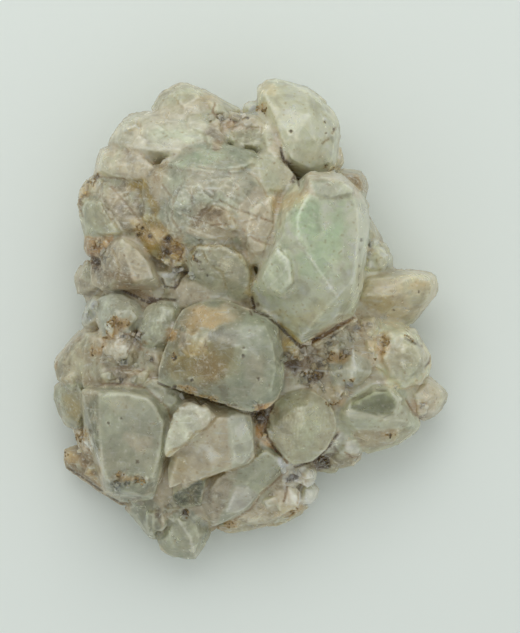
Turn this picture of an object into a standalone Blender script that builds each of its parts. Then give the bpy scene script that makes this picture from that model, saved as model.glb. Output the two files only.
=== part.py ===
"""A datolite cluster: blocky, wedge-faced crystals grown together on a thin crust of their own rock.

The cluster is one natural piece, so it is one solid. It lies on its broken underside, on the plane z = 0, with
+Z up. Seen from above, +X is to the right and +Y is away from the viewer. Every length below is in millimetres,
and MM turns it to metres where a mesh is made.

Each crystal is the convex hull of three sets of corners: its rim, where it is widest, its crown, where its flat
top faces meet, and its foot, which is a smaller copy of the rim set down in the rock.
"""

import math
import random

import bmesh
import bpy
from mathutils import Euler, Vector, noise

MM = 0.001
# Corners and faces are put in order along this direction, so that two builds number them alike.
SORTING_WAY = Vector((0.577, 0.211, 0.789))

CRYSTAL_COLOUR = (0.56, 0.58, 0.48, 1.0)
CRYSTAL_ROUGHNESS = 0.32

# The rock crust: rings of corners around the middle, each a height and a share of the cluster's outline.
ROCK_RINGS = (
    (0.0, 0.52),
    (0.8, 0.66),
    (2.2, 0.77),
    (5.0, 0.86),
    (9.0, 0.90),
    (12.0, 0.88),
    (15.0, 0.82),
    (17.5, 0.70),
    (19.5, 0.50),
    (20.5, 0.26),
)
ROCK_SPOKES = 48
ROCK_ROUGHNESS = 1.5
ROCK_GRAIN = 0.16
REST_FACE_RINGS = 1

# A rim corner is lifted by this share of the way to the crown, more and more across a band from the edge inwards.
INNER_LIFT = 0.62
EDGE_BAND = (1.5, 4.0)
CLUSTER_REACH = 60.0
SPLAY = 0.6

# Faces within this many degrees of one plane are merged.
PLANE_LIMIT = 3.0
MOST_TRIANGLES = 9700

# Where broken bits lie: the middle, the height, the reach along X and Y, the number of bits and their size.
RUBBLE_SEED = 8
RUBBLE_PLACES = (
    (13.5, -9.0, 18.0, 5.5, 3.4, 9, 4.4),
    (16.5, -5.5, 20.0, 4.0, 1.8, 4, 3.6),
    (24.8, -6.4, 19.2, 1.8, 3.2, 5, 3.0),
    (17.4, -13.6, 18.2, 3.0, 2.0, 4, 3.6),
    (-26.6, -2.2, 21.6, 3.0, 1.4, 5, 2.4),
    (-18.6, -7.2, 22.6, 1.6, 1.8, 4, 2.2),
    (-24.8, -11.4, 21.8, 3.6, 1.2, 4, 2.6),
    (-24.6, -33.0, 20.6, 3.6, 1.4, 5, 2.4),
    (-16.6, -38.2, 12.6, 2.4, 1.4, 4, 2.8),
    (2.2, -21.0, 18.6, 1.6, 3.4, 4, 3.6),
    (-3.6, 39.6, 24.0, 1.8, 1.2, 4, 2.4),
    (-15.6, 13.6, 26.4, 2.4, 2.2, 5, 2.6),
    (21.6, 12.6, 17.4, 1.2, 3.4, 3, 3.6),
    (9.6, -30.6, 14.6, 3.0, 2.2, 5, 2.8),
)
RUBBLE_SHAPE = (
    (-1.0, -0.8, -0.9), (1.0, -0.9, -0.9), (0.9, 0.9, -0.9), (-0.9, 1.0, -0.9),
    (-0.9, -0.7, 0.5), (0.8, -0.9, 0.7), (1.0, 0.7, 0.4), (-0.6, 0.9, 0.8), (0.1, 0.0, 1.15),
)

# The small crystals round the flank.
FLANK_SEED = 7
FLANK_COUNT = 44
FLANK_HEIGHTS = (2.5, 14.0)
FLANK_LENGTHS = (5.5, 9.5)
FLANK_WIDTHS = (3.2, 6.6)
FLANK_REACH = 0.965
LUMP_SHIFTS = (3.7, 19.3, 41.9)

# The cluster's outline seen from above.
OUTLINE = (
    (-20.0, 42.3), (-18.5, 45.3), (-15.0, 47.2), (-13.5, 47.5), (-10.0, 46.5), (-5.0, 43.3), (-2.0, 42.0),
    (0.0, 43.7), (1.0, 46.3), (5.0, 48.0), (8.0, 46.7), (11.0, 46.4), (15.5, 42.5), (17.8, 39.0), (17.9, 35.5),
    (16.8, 30.3), (22.0, 30.0), (23.6, 26.5), (23.3, 21.0), (26.5, 16.0), (28.6, 12.5), (29.0, 9.8),
    (37.2, 9.0), (37.6, 6.5), (33.0, 0.0), (34.0, -3.0), (36.1, -8.0), (36.0, -11.0), (39.6, -14.6),
    (38.0, -18.5), (34.3, -20.5), (32.0, -23.5), (28.5, -25.5), (23.0, -26.8), (20.5, -29.3), (17.0, -31.0),
    (13.0, -31.0), (13.5, -35.0), (11.7, -38.0), (5.0, -41.5), (0.0, -42.3), (-4.0, -43.2), (-7.5, -42.0),
    (-10.8, -48.2), (-16.0, -47.5), (-18.5, -44.8), (-21.5, -41.5), (-25.0, -38.0), (-30.0, -35.0),
    (-37.3, -29.7), (-37.8, -26.0), (-34.5, -24.5), (-36.5, -21.5), (-39.6, -15.8), (-39.0, -12.0),
    (-39.0, -7.0), (-34.0, -1.5), (-33.0, 3.0), (-35.1, 6.0), (-34.3, 11.0), (-33.0, 15.0), (-34.6, 21.5),
    (-34.0, 25.5), (-31.7, 28.7), (-30.2, 34.0), (-28.0, 36.5), (-25.5, 40.0), (-22.0, 41.7),
)


def clear_scene():
    for old in list(bpy.data.objects):
        bpy.data.objects.remove(old)


def finish_body(body, name, collection):
    """Turns millimetres to metres and makes the object."""
    bmesh.ops.recalc_face_normals(body, faces=body.faces[:])
    bmesh.ops.scale(body, vec=(MM, MM, MM), verts=body.verts[:])
    mesh = bpy.data.meshes.new(name)
    body.to_mesh(mesh)
    body.free()
    made = bpy.data.objects.new(name, mesh)
    collection.objects.link(made)
    return made


def hull_object(name, corners, collection):
    """The convex hull of the corners, as an object."""
    body = bmesh.new()
    for corner in corners:
        body.verts.new(corner)
    made = bmesh.ops.convex_hull(body, input=body.verts[:])
    spare = [item for item in made["geom_interior"] + made["geom_unused"] if isinstance(item, bmesh.types.BMVert)]
    bmesh.ops.delete(body, geom=list(set(spare)), context="VERTS")
    body.verts.sort(key=lambda vert: vert.co.dot(SORTING_WAY))
    body.faces.sort(key=lambda face: face.calc_center_median().dot(SORTING_WAY))
    return finish_body(body, name, collection)


def edge_distance(x, y):
    """The distance from a point to the cluster's outline."""
    spot = Vector((x, y))
    nearest = CLUSTER_REACH
    for start, end in zip(OUTLINE, OUTLINE[1:] + OUTLINE[:1]):
        a = Vector(start)
        along = Vector(end) - a
        share = min(max((spot - a).dot(along) / along.length_squared, 0.0), 1.0)
        nearest = min(nearest, (spot - a - along * share).length)
    return nearest


def rim_corners(rim, rim_height, crown):
    """The rim's corners. Those away from the cluster's edge are lifted towards the crown, as neighbours meet there."""
    crown_height = sum(corner[2] for corner in crown) / len(crown)
    wide = []
    for corner in rim:
        if len(corner) == 3:
            wide.append(Vector(corner))
            continue
        inside = min(max((edge_distance(*corner) - EDGE_BAND[0]) / EDGE_BAND[1], 0.0), 1.0)
        wide.append(Vector((corner[0], corner[1], rim_height + (crown_height - rim_height) * INNER_LIFT * inside)))
    return wide


def crystal(collection, name, rim_height, foot_height, rim, crown, shrink=0.7, drift=(0.0, 0.0)):
    """One crystal. The foot is the rim drawn in by shrink about its middle and moved by drift. It also lies nearer
    the cluster's middle than the rim does, so that the outer crystals lean outwards."""
    wide = rim_corners(rim, rim_height, crown)
    middle = sum(wide, Vector()) / len(wide)
    lean = Vector((middle.x, middle.y, 0.0)) * (SPLAY * (middle.z - foot_height) / CLUSTER_REACH)
    foot = []
    for corner in wide:
        flat = middle + (corner - middle) * shrink + Vector((drift[0], drift[1], 0.0)) - lean
        foot.append(Vector((flat.x, flat.y, foot_height)))
    return hull_object(name, wide + [Vector(corner) for corner in crown] + foot, collection)


def outline_at(turn):
    """The distance from the middle to the cluster's outline, in the direction of the turn."""
    ray = Vector((math.cos(turn), math.sin(turn)))
    farthest = 0.0
    for start, end in zip(OUTLINE, OUTLINE[1:] + OUTLINE[:1]):
        a = Vector(start)
        along = Vector(end) - a
        cross = ray.x * along.y - ray.y * along.x
        if abs(cross) < 1e-9:
            continue
        distance = (a.x * along.y - a.y * along.x) / cross
        share = (a.x * ray.y - a.y * ray.x) / cross
        if distance > 0 and 0 <= share <= 1:
            farthest = max(farthest, distance)
    return farthest


def lump_at(place):
    """How far the rock's lumps move a point, the same in every build."""
    spot = place * ROCK_GRAIN
    return Vector([noise.noise(spot + Vector((0.0, 0.0, shift))) for shift in LUMP_SHIFTS]) * ROCK_ROUGHNESS


def rock_crust(collection):
    """The lumpy rock under the crystals, with a broken face on the plane z = 0 to rest on."""
    body = bmesh.new()
    rings = []
    for level, (height, share) in enumerate(ROCK_RINGS):
        ring = []
        for spoke in range(ROCK_SPOKES):
            turn = 2 * math.pi * (spoke + 0.5 * (level % 2)) / ROCK_SPOKES
            reach = outline_at(turn) * share
            place = Vector((math.cos(turn) * reach, math.sin(turn) * reach, height))
            wobble = lump_at(place)
            wobble.z *= 0.0 if level < REST_FACE_RINGS else 0.6
            ring.append(body.verts.new(place + wobble))
        rings.append(ring)
    for lower, upper in zip(rings, rings[1:]):
        for spoke in range(ROCK_SPOKES):
            after = (spoke + 1) % ROCK_SPOKES
            body.faces.new((lower[spoke], lower[after], upper[after], upper[spoke]))
    body.faces.new(rings[0][::-1])
    peak = body.verts.new((0.0, 0.0, ROCK_RINGS[-1][0] + 0.5))
    for spoke in range(ROCK_SPOKES):
        body.faces.new((rings[-1][spoke], rings[-1][(spoke + 1) % ROCK_SPOKES], peak))
    bmesh.ops.triangulate(body, faces=body.faces[:])
    return finish_body(body, "rock crust", collection)


def rubble(group):
    """Broken bits of crystal in the hollows between the large ones."""
    draw = random.Random(RUBBLE_SEED)
    for place, (x, y, height, spread_x, spread_y, number, size) in enumerate(RUBBLE_PLACES):
        for count in range(number):
            turn = 2 * math.pi * (count + draw.uniform(-0.3, 0.3)) / number
            away = math.sqrt(draw.uniform(0.05, 1.0))
            middle = Vector((
                x + math.cos(turn) * spread_x * away,
                y + math.sin(turn) * spread_y * away,
                height + draw.uniform(-0.8, 0.8),
            ))
            corners = []
            for corner in RUBBLE_SHAPE:
                bit = Vector([part * draw.uniform(0.65, 1.2) for part in corner])
                bit.rotate(Euler((draw.uniform(-0.6, 0.6), draw.uniform(-0.6, 0.6), turn * 2.3)))
                corners.append(middle + bit * size * 0.5)
            hull_object(f"rubble {place} {count}", corners, group)


def flank_crystals(group):
    """Small wedge-ended crystals round the flank, each with its tip just inside the outline."""
    draw = random.Random(FLANK_SEED)
    for count in range(FLANK_COUNT):
        turn = 2 * math.pi * (count + draw.uniform(-0.35, 0.35)) / FLANK_COUNT
        height = draw.uniform(*FLANK_HEIGHTS)
        rise = math.radians(draw.uniform(-8.0, 34.0))
        length = draw.uniform(*FLANK_LENGTHS)
        width = draw.uniform(*FLANK_WIDTHS)
        swing = turn + math.radians(draw.uniform(-24.0, 24.0))
        axis = Vector((math.cos(swing) * math.cos(rise), math.sin(swing) * math.cos(rise), math.sin(rise)))
        side = Vector((-math.sin(swing), math.cos(swing), 0.0))
        up = axis.cross(side)
        reach = outline_at(turn) * FLANK_REACH
        tip = Vector((math.cos(turn) * reach, math.sin(turn) * reach, height + length * math.sin(rise)))
        corners = []
        for step in range(6):
            angle = 2 * math.pi * (step + draw.uniform(-0.18, 0.18)) / 6
            radial = (side * math.cos(angle) + up * math.sin(angle) * draw.uniform(0.7, 1.0)) * width / 2
            corners.append(tip - axis * (length + 3.0) + radial * 0.75)
            corners.append(tip - axis * draw.uniform(1.4, 2.6) + radial)
        ridge = (side * math.cos(rise * 3) + up * math.sin(rise * 3)) * width * 0.28
        corners.append(tip + ridge - axis * 0.4)
        corners.append(tip - ridge)
        lowest = min(corner.z for corner in corners)
        if lowest < 1.0:
            corners = [corner + Vector((0.0, 0.0, 1.0 - lowest)) for corner in corners]
        hull_object(f"flank crystal {count}", corners, group)


def north_crystals(group):
    crystal(group, "northeast lens", 22, 8, [
        (1.1, 46.3, 21), (3.0, 47.9, 20), (5.0, 48.2, 20), (7.5, 46.8, 20), (11.2, 46.4, 20), (12.9, 45.3, 20),
        (14.2, 44.0, 20), (15.7, 42.4, 20), (17.2, 40.5, 20), (17.8, 39.0, 20), (17.9, 36.5, 20), (17.5, 33.5, 20),
        (16.7, 30.3, 21), (15.0, 29.4), (11.5, 29.2), (9.0, 30.2, 23), (6.8, 32.0, 24), (6.0, 33.5, 25),
        (5.5, 37.0, 25), (3.5, 40.2, 24), (2.4, 41.4, 24), (1.3, 43.3, 23),
    ], [
        (2.2, 45.8, 23.5), (4.6, 46.9, 23.3), (8.0, 45.7, 24.0), (11.0, 45.2, 24), (13.6, 42.8, 24),
        (15.8, 39.8, 24.4), (16.7, 36.6, 24.6), (15.9, 31.4, 24.8), (11.5, 30.2, 27), (7.9, 31.9, 28.4),
        (6.3, 35.2, 29.2), (5.8, 38.6, 29.0), (3.9, 42.4, 27.8), (11.5, 40.4, 28.8), (12.6, 35.8, 29.0),
        (8.8, 35.6, 30.0), (2.6, 44.8, 25.8),
    ], shrink=0.6, drift=(-1.5, -3.0))
    crystal(group, "north crown", 18, 6, [
        (-20.0, 42.4, 17), (-18.3, 45.2, 16), (-16.2, 46.1, 16), (-15.0, 47.2, 16), (-13.0, 47.5, 16),
        (-10.0, 46.5, 16), (-7.5, 45.2, 16), (-5.0, 43.3, 16), (-2.0, 42.2, 16), (-4.0, 38.5), (-14.0, 37.5),
        (-19.5, 39.5),
    ], [
        (-17.2, 43.8, 21), (-14.0, 45.2, 21.5), (-10.5, 44.8, 22), (-7.5, 43.2, 22), (-5.2, 40.8, 22.5),
        (-9.0, 39.2, 24.5), (-14.5, 40.0, 24.5), (-18.0, 40.8, 23),
    ], shrink=0.72, drift=(2.0, -4.0))
    crystal(group, "north crown edge", 19, 12, [
        (-9.5, 45.4), (-7.2, 44.6), (-4.6, 43.0), (-3.0, 41.6), (-4.4, 39.6), (-7.6, 40.0),
    ], [(-8.6, 43.4, 23), (-6.4, 42.6, 23.4), (-5.0, 41.0, 23.4), (-7.2, 41.0, 24.2)])
    crystal(group, "northwest plate", 19, 7, [
        (-28.5, 35.0), (-27.9, 36.6), (-26.4, 37.6), (-25.6, 40.0), (-23.8, 41.0), (-20.0, 41.8), (-14.0, 40.5),
        (-9.0, 38.5), (-6.5, 35.5), (-9.0, 32.0), (-20.0, 31.0), (-27.5, 33.0),
    ], [
        (-26.6, 35.4, 23), (-25.2, 37.4, 23), (-23.6, 39.6, 22.5), (-19.8, 40.2, 24), (-13.5, 38.8, 25.5),
        (-10.0, 36.6, 27.2), (-12.5, 33.6, 29), (-18.5, 33.4, 28.2), (-24.0, 34.2, 26.2),
    ], shrink=0.72, drift=(3.0, -3.0))
    crystal(group, "northwest step", 18, 9, [
        (-27.6, 36.8), (-25.9, 38.4), (-25.3, 40.4), (-22.8, 41.5), (-21.0, 40.6), (-22.6, 37.4), (-25.4, 36.2),
    ], [(-24.6, 39.0, 23.6), (-22.6, 40.2, 23.8), (-22.6, 38.4, 25), (-24.8, 37.6, 24.6)])
    crystal(group, "saddle lump", 21, 12, [
        (-14.0, 37.4), (-12.4, 40.2), (-8.6, 41.0), (-4.6, 40.4), (-4.8, 37.6), (-8.0, 36.0),
    ], [(-12.0, 38.2, 26.6), (-10.0, 39.8, 25.4), (-6.6, 39.6, 25.8), (-6.4, 37.8, 27.0), (-9.0, 37.2, 27.8)])
    crystal(group, "saddle east", 24, 14, [
        (2.4, 38.6), (4.6, 38.8), (5.8, 36.8), (6.4, 33.4), (7.2, 31.2), (4.2, 30.0), (1.6, 32.4),
    ], [(3.8, 37.6, 27.2), (5.2, 36.0, 27.6), (5.7, 33.0, 28.8), (5.0, 31.8, 30.0), (3.2, 33.6, 29.4)])
    crystal(group, "north bud", 18, 10, [
        (-1.8, 42.0), (-1.3, 43.2), (0.2, 43.8), (1.4, 43.6), (2.4, 41.6), (1.5, 39.6), (-1.4, 40.0),
    ], [(-0.6, 42.6, 21), (0.9, 42.8, 21.4), (1.4, 41.2, 22.2), (-0.2, 40.8, 22)])
    crystal(group, "north saddle", 22, 10, [
        (-5.2, 36.8), (-3.6, 38.2), (-0.5, 38.8), (2.8, 38.0), (4.6, 36.6), (4.2, 34.6), (2.0, 33.2), (-2.5, 33.8),
        (-4.8, 35.0),
    ], [(-3.4, 36.6, 26), (-1.0, 37.6, 25.4), (2.4, 37.0, 25.6), (3.4, 35.8, 27), (1.6, 34.4, 28), (-2.2, 34.8, 28)])
    crystal(group, "saddle ridge", 21, 12, [
        (-5.6, 40.4), (-2.0, 41.2), (2.0, 40.8), (4.6, 38.8), (5.0, 36.6), (2.0, 37.2), (-2.0, 38.2), (-5.0, 38.6),
    ], [(-3.6, 39.6, 24.6), (0.6, 39.8, 25.2), (3.2, 38.6, 26), (1.0, 38.4, 26.4)])
    crystal(group, "saddle peg", 23, 14, [
        (-9.6, 37.4), (-7.0, 38.0), (-5.0, 36.6), (-5.2, 33.2), (-7.0, 32.4), (-9.4, 34.0),
    ], [(-8.4, 36.2, 28.4), (-6.6, 36.4, 27.6), (-6.2, 34.0, 29.4), (-8.2, 34.4, 29.6)])
    crystal(group, "pale plate", 25, 14, [
        (-0.5, 31.8), (2.5, 33.0), (6.0, 32.0), (9.0, 28.6), (9.4, 26.0), (6.6, 24.2), (3.6, 24.2), (0.5, 27.0),
    ], [(1.4, 31.0, 31), (5.0, 30.8, 30), (7.6, 27.8, 29.4), (6.0, 25.6, 31), (3.4, 25.8, 32.4), (1.6, 28.6, 32.4)])
    crystal(group, "northeast amber", 15, 5, [
        (16.8, 29.8), (18.4, 30.3), (22.0, 30.0), (23.2, 28.2), (23.6, 26.5), (22.9, 24.4), (19.0, 23.0),
        (16.0, 26.0),
    ], [(18.2, 29.2, 21), (21.2, 28.9, 20.6), (22.3, 26.6, 20.4), (21.4, 24.8, 21.6), (18.0, 26.4, 22.4)],
        shrink=0.66, drift=(-2.0, -2.0))


def northwest_crystals(group):
    crystal(group, "northwest lobe", 17, 6, [
        (-30.3, 34.0), (-28.0, 35.0), (-25.0, 34.7), (-21.5, 33.4), (-18.5, 30.0), (-20.5, 27.0), (-26.0, 27.0),
        (-31.4, 29.0), (-31.1, 31.0),
    ], [
        (-29.2, 33.0, 22), (-26.6, 34.0, 23.0), (-22.0, 32.8, 26.6), (-19.4, 30.2, 28.2), (-21.4, 27.8, 27.0),
        (-26.0, 28.0, 24.6), (-30.0, 29.8, 22.6), (-25.6, 31.0, 26.0),
    ], shrink=0.7, drift=(3.0, -2.0))
    crystal(group, "lobe edge", 15, 7, [
        (-32.4, 28.2), (-30.6, 29.8), (-28.4, 28.4), (-28.0, 25.0), (-31.5, 24.0), (-34.4, 24.6), (-34.0, 26.2),
    ], [(-31.4, 27.6, 19.5), (-29.6, 27.8, 21.5), (-29.4, 25.6, 22), (-32.6, 25.6, 18.6)])
    crystal(group, "pink bench", 18, 8, [
        (-30.6, 28.2), (-26.0, 28.2), (-22.0, 28.6), (-19.2, 25.6), (-18.0, 21.0), (-21.0, 17.0), (-26.8, 16.8),
        (-30.8, 23.6),
    ], [
        (-29.2, 27.2, 22), (-24.4, 27.0, 24.0), (-20.4, 25.8, 25.4), (-19.0, 21.8, 26.4), (-21.4, 18.2, 26.2),
        (-25.5, 18.0, 25.6), (-29.2, 23.9, 24.0),
    ])
    crystal(group, "mass apron", 24, 12, [
        (-21.4, 27.4), (-19.0, 30.6), (-15.4, 31.0), (-13.6, 22.0), (-13.6, 15.0), (-18.6, 15.6), (-21.4, 20.0),
    ], [(-19.6, 26.2, 28.0), (-17.6, 29.0, 30.2), (-16.0, 28.0, 31.0), (-15.0, 19.4, 30.4), (-18.4, 17.8, 27.8)])
    crystal(group, "west fin", 16, 7, [
        (-34.6, 23.2), (-33.6, 24.8), (-30.4, 24.8), (-28.6, 22.0), (-25.6, 17.4), (-26.4, 15.6), (-30.0, 15.4),
        (-33.2, 16.6), (-33.4, 19.8), (-34.6, 21.6),
    ], [
        (-33.2, 22.8, 19.5), (-30.0, 23.4, 24.2), (-28.2, 20.6, 25.2), (-26.4, 17.4, 25.4), (-29.6, 17.0, 22.6),
        (-32.2, 18.6, 20.4),
    ], shrink=0.72, drift=(2.0, 0.0))
    crystal(group, "west blade", 17, 6, [
        (-31.6, 13.6), (-28.4, 15.6), (-25.4, 17.1, 21), (-22.0, 15.0, 21), (-20.0, 12.6, 21), (-18.1, 8.0, 20),
        (-17.9, 5.9, 19), (-21.0, 6.5, 18), (-26.0, 6.3), (-30.0, 5.9), (-31.9, 7.0), (-32.2, 10.0),
    ], [
        (-25.4, 15.9, 27.0), (-22.6, 13.9, 26.6), (-20.6, 11.6, 26.2), (-19.3, 8.4, 24.8), (-22.0, 8.0, 25.0),
        (-25.9, 8.4, 24.4), (-26.4, 12.4, 26.4), (-29.6, 9.4, 21.5), (-29.2, 12.6, 22.2),
    ], shrink=0.75, drift=(2.0, 1.0))
    crystal(group, "blade shoulder", 16, 8, [
        (-33.3, 16.6), (-30.0, 17.0), (-27.2, 16.6), (-26.8, 13.2), (-29.6, 11.8), (-32.6, 12.4), (-33.5, 14.4),
    ], [(-32.0, 15.6, 20), (-28.6, 15.8, 22.8), (-28.4, 13.6, 23), (-31.4, 13.6, 20.6)])
    crystal(group, "west tab", 8, 3, [
        (-33.2, 12.2), (-34.4, 10.6), (-35.5, 8.8), (-35.1, 7.0), (-35.1, 5.1), (-32.3, 4.8), (-30.0, 6.0),
        (-29.5, 11.0),
    ], [(-33.2, 10.6, 12), (-34.2, 8.4, 11.5), (-33.6, 6.0, 11.8), (-31.0, 6.4, 15), (-31.0, 10.4, 15)],
        shrink=0.74, drift=(2.0, 0.0))
    crystal(group, "brown ledge", 19, 9, [
        (-24.2, 20.0), (-20.0, 20.8), (-15.6, 19.4), (-14.2, 15.0), (-17.0, 11.4), (-20.6, 13.4), (-24.6, 17.2),
    ], [(-22.6, 18.6, 24.4), (-19.6, 19.2, 25.8), (-16.6, 17.8, 27), (-16.8, 13.8, 25.2), (-20.4, 15.2, 24.6)])
    crystal(group, "brown corner", 20, 10, [
        (-17.6, 16.6), (-13.6, 17.6), (-10.4, 15.4), (-11.0, 11.0), (-14.6, 9.4), (-18.0, 11.6),
    ], [(-16.0, 15.4, 26.6), (-12.6, 15.8, 28), (-12.0, 12.2, 27.4), (-14.8, 11.0, 25.8)])
    crystal(group, "small plate", 19, 12, [
        (-18.6, 9.8), (-14.2, 10.2), (-13.6, 8.4), (-15.6, 6.2), (-17.0, 6.4),
    ], [(-17.4, 9.0, 23.6), (-15.2, 9.0, 24), (-15.2, 7.4, 22.6), (-16.6, 7.4, 22.4)])
    crystal(group, "sliver", 19, 11, [
        (-17.8, 5.2, 19.5), (-15.4, 6.8), (-12.0, 9.6), (-6.0, 8.2), (0.4, 4.4), (0.4, 2.4), (-5.0, 3.2),
        (-10.0, 3.0), (-14.6, 2.2),
    ], [
        (-13.4, 6.4, 25.6), (-11.0, 7.6, 27.4), (-6.4, 6.6, 28.6), (-1.4, 4.4, 27.6), (-9.6, 4.2, 27),
        (-13.2, 3.6, 25),
    ])


def central_crystals(group):
    crystal(group, "broken north", 23, 10, [
        (-18.4, 19.0), (-18.6, 25.0), (-17.4, 30.0), (-13.0, 34.0), (-7.0, 34.4), (0.0, 33.4), (4.6, 30.4),
        (6.0, 25.0), (4.8, 18.0), (0.0, 13.6), (-8.0, 14.0), (-14.6, 15.4),
    ], [
        (-15.8, 20.6, 31), (-16.0, 25.6, 31), (-13.8, 29.8, 30.8), (-7.4, 31.6, 30.8), (0.0, 30.8, 31),
        (3.0, 27.6, 32.2), (3.2, 20.6, 33.0), (-0.6, 16.8, 32.6), (-8.6, 16.2, 32.6), (-13.0, 17.6, 31.8),
        (-11.2, 26.4, 34.2), (-6.4, 25.6, 35.2), (-3.0, 21.6, 35.2), (-9.4, 21.4, 34.6),
    ])
    crystal(group, "broken south", 22, 10, [
        (-12.6, 13.2), (-10.6, 15.2), (-6.0, 15.4), (-1.6, 13.4), (0.8, 10.0), (0.4, 4.6), (-2.6, 3.6),
        (-7.6, 5.2), (-12.2, 8.6),
    ], [
        (-11.6, 12.6, 30.6), (-10.2, 14.6, 32.0), (-5.6, 14.9, 33.2), (-2.0, 13.0, 32.8), (-0.5, 9.6, 31.2),
        (-0.8, 5.6, 29.4), (-5.6, 6.4, 29.2), (-10.2, 9.2, 29.8), (-5.0, 11.0, 32.8),
    ])
    crystal(group, "etched ridge", 26, 14, [
        (-16.8, 22.6), (-14.6, 27.0), (-10.0, 28.0), (-6.2, 24.0), (-8.6, 20.2), (-13.2, 19.2),
    ], [(-14.6, 23.0, 33.8), (-13.2, 25.8, 34.2), (-10.2, 26.2, 35.6), (-8.0, 23.8, 35.8), (-9.6, 21.4, 35.0)])
    crystal(group, "green band", 22, 12, [
        (-18.0, 31.0), (-12.0, 35.0), (-6.0, 35.2), (0.6, 33.4), (3.4, 30.8), (-1.0, 27.6), (-8.0, 28.0),
        (-15.4, 28.4),
    ], [(-14.6, 30.6, 30.8), (-10.6, 33.0, 30.4), (-5.0, 32.8, 30.6), (0.2, 31.0, 32), (-3.0, 29.2, 33), (-11.0, 29.4, 32.8)])
    crystal(group, "pink saddle", 24, 14, [
        (-2.6, 17.0), (-2.4, 22.0), (1.0, 26.4), (5.6, 25.4), (5.6, 19.0), (4.6, 14.0), (1.8, 10.6), (-0.8, 12.4),
    ], [(-0.8, 17.4, 34.0), (0.4, 22.0, 34.6), (3.6, 23.6, 34.2), (4.2, 18.6, 33.6), (2.4, 13.6, 32.6), (0.6, 13.6, 32.6)])
    crystal(group, "brown slab", 26, 14, [
        (-10.0, 16.4), (-11.2, 20.0), (-8.0, 24.0), (-4.0, 22.6), (-1.6, 18.2), (-4.6, 15.8),
    ], [(-8.8, 17.8, 34.0), (-9.2, 20.2, 34.8), (-7.2, 22.4, 36.0), (-4.6, 21.2, 36.0), (-3.0, 18.4, 35)])


def great_crystal(group):
    crystal(group, "great green", 28, 11, [
        (10.4, 28.4, 30), (11.2, 29.1, 30), (14.5, 29.2, 29), (17.5, 29.0, 29), (20.4, 26.8, 28), (22.5, 24.5, 28),
        (23.3, 22.4, 28), (23.5, 19.5, 28), (23.4, 16.0, 28), (22.8, 11.0, 27), (22.0, 5.6, 26), (20.4, 0.9, 25),
        (17.6, -0.8, 25), (14.0, -2.9, 25), (9.9, -5.0, 24.5), (6.6, -1.8, 25), (3.5, 0.9, 25.5), (0.5, 1.7, 26),
        (0.4, 6.0, 27.5), (2.6, 11.0, 29), (4.6, 15.4, 30.5), (4.9, 20.0, 31), (6.3, 24.2, 31), (8.6, 26.2, 30.5),
    ], [
        (9.3, 16.4, 40.4), (16.8, 4.6, 36.6), (20.2, 7.8, 36.2), (20.9, 15.0, 36.8), (21.0, 22.0, 36.4),
        (19.3, 25.3, 36.0), (17.2, 27.0, 35.8), (12.0, 27.4, 36.4), (10.6, 23.6, 38.8), (9.0, 20.0, 39.8),
        (7.0, 20.6, 37.6), (6.3, 16.6, 37.4), (17.0, 1.0, 31.6), (10.2, -3.0, 29.0),
    ], shrink=0.72)
    crystal(group, "parallel leaf", 29, 22, [
        (5.1, 15.6, 35), (6.7, 13.8, 36), (8.4, 12.5, 36), (8.9, 9.6, 35.5), (8.7, 6.4, 34), (6.8, 4.0, 31.5),
        (4.0, 4.7, 30), (2.0, 5.1, 29), (0.8, 7.0, 29), (1.4, 9.4, 30), (3.0, 12.0, 32),
    ], [
        (5.2, 13.7, 38.0), (7.4, 11.6, 38.4), (7.8, 7.6, 37.2), (6.2, 5.6, 35.2), (3.2, 6.2, 33.4),
        (2.2, 8.2, 33.6), (3.8, 11.6, 36.0),
    ], shrink=0.8)
    crystal(group, "north end frame", 29, 22, [
        (10.5, 28.2), (11.3, 29.2), (17.6, 29.1), (20.0, 27.2), (21.0, 25.0), (16.0, 23.0), (10.5, 24.4),
    ], [(11.4, 27.6, 36.9), (17.2, 27.4, 36.6), (20.0, 25.2, 36.9), (15.8, 24.2, 37.8), (11.4, 25.0, 38.2)])
    crystal(group, "olive facet", 20, 8, [
        (5.2, 0.2), (8.2, -2.4), (10.6, -5.0), (10.0, -8.0), (6.6, -8.0), (4.6, -4.0),
    ], [(6.4, -1.2, 25.6), (8.8, -3.6, 25.2), (8.4, -6.2, 24), (6.2, -4.6, 25.4)])


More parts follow.
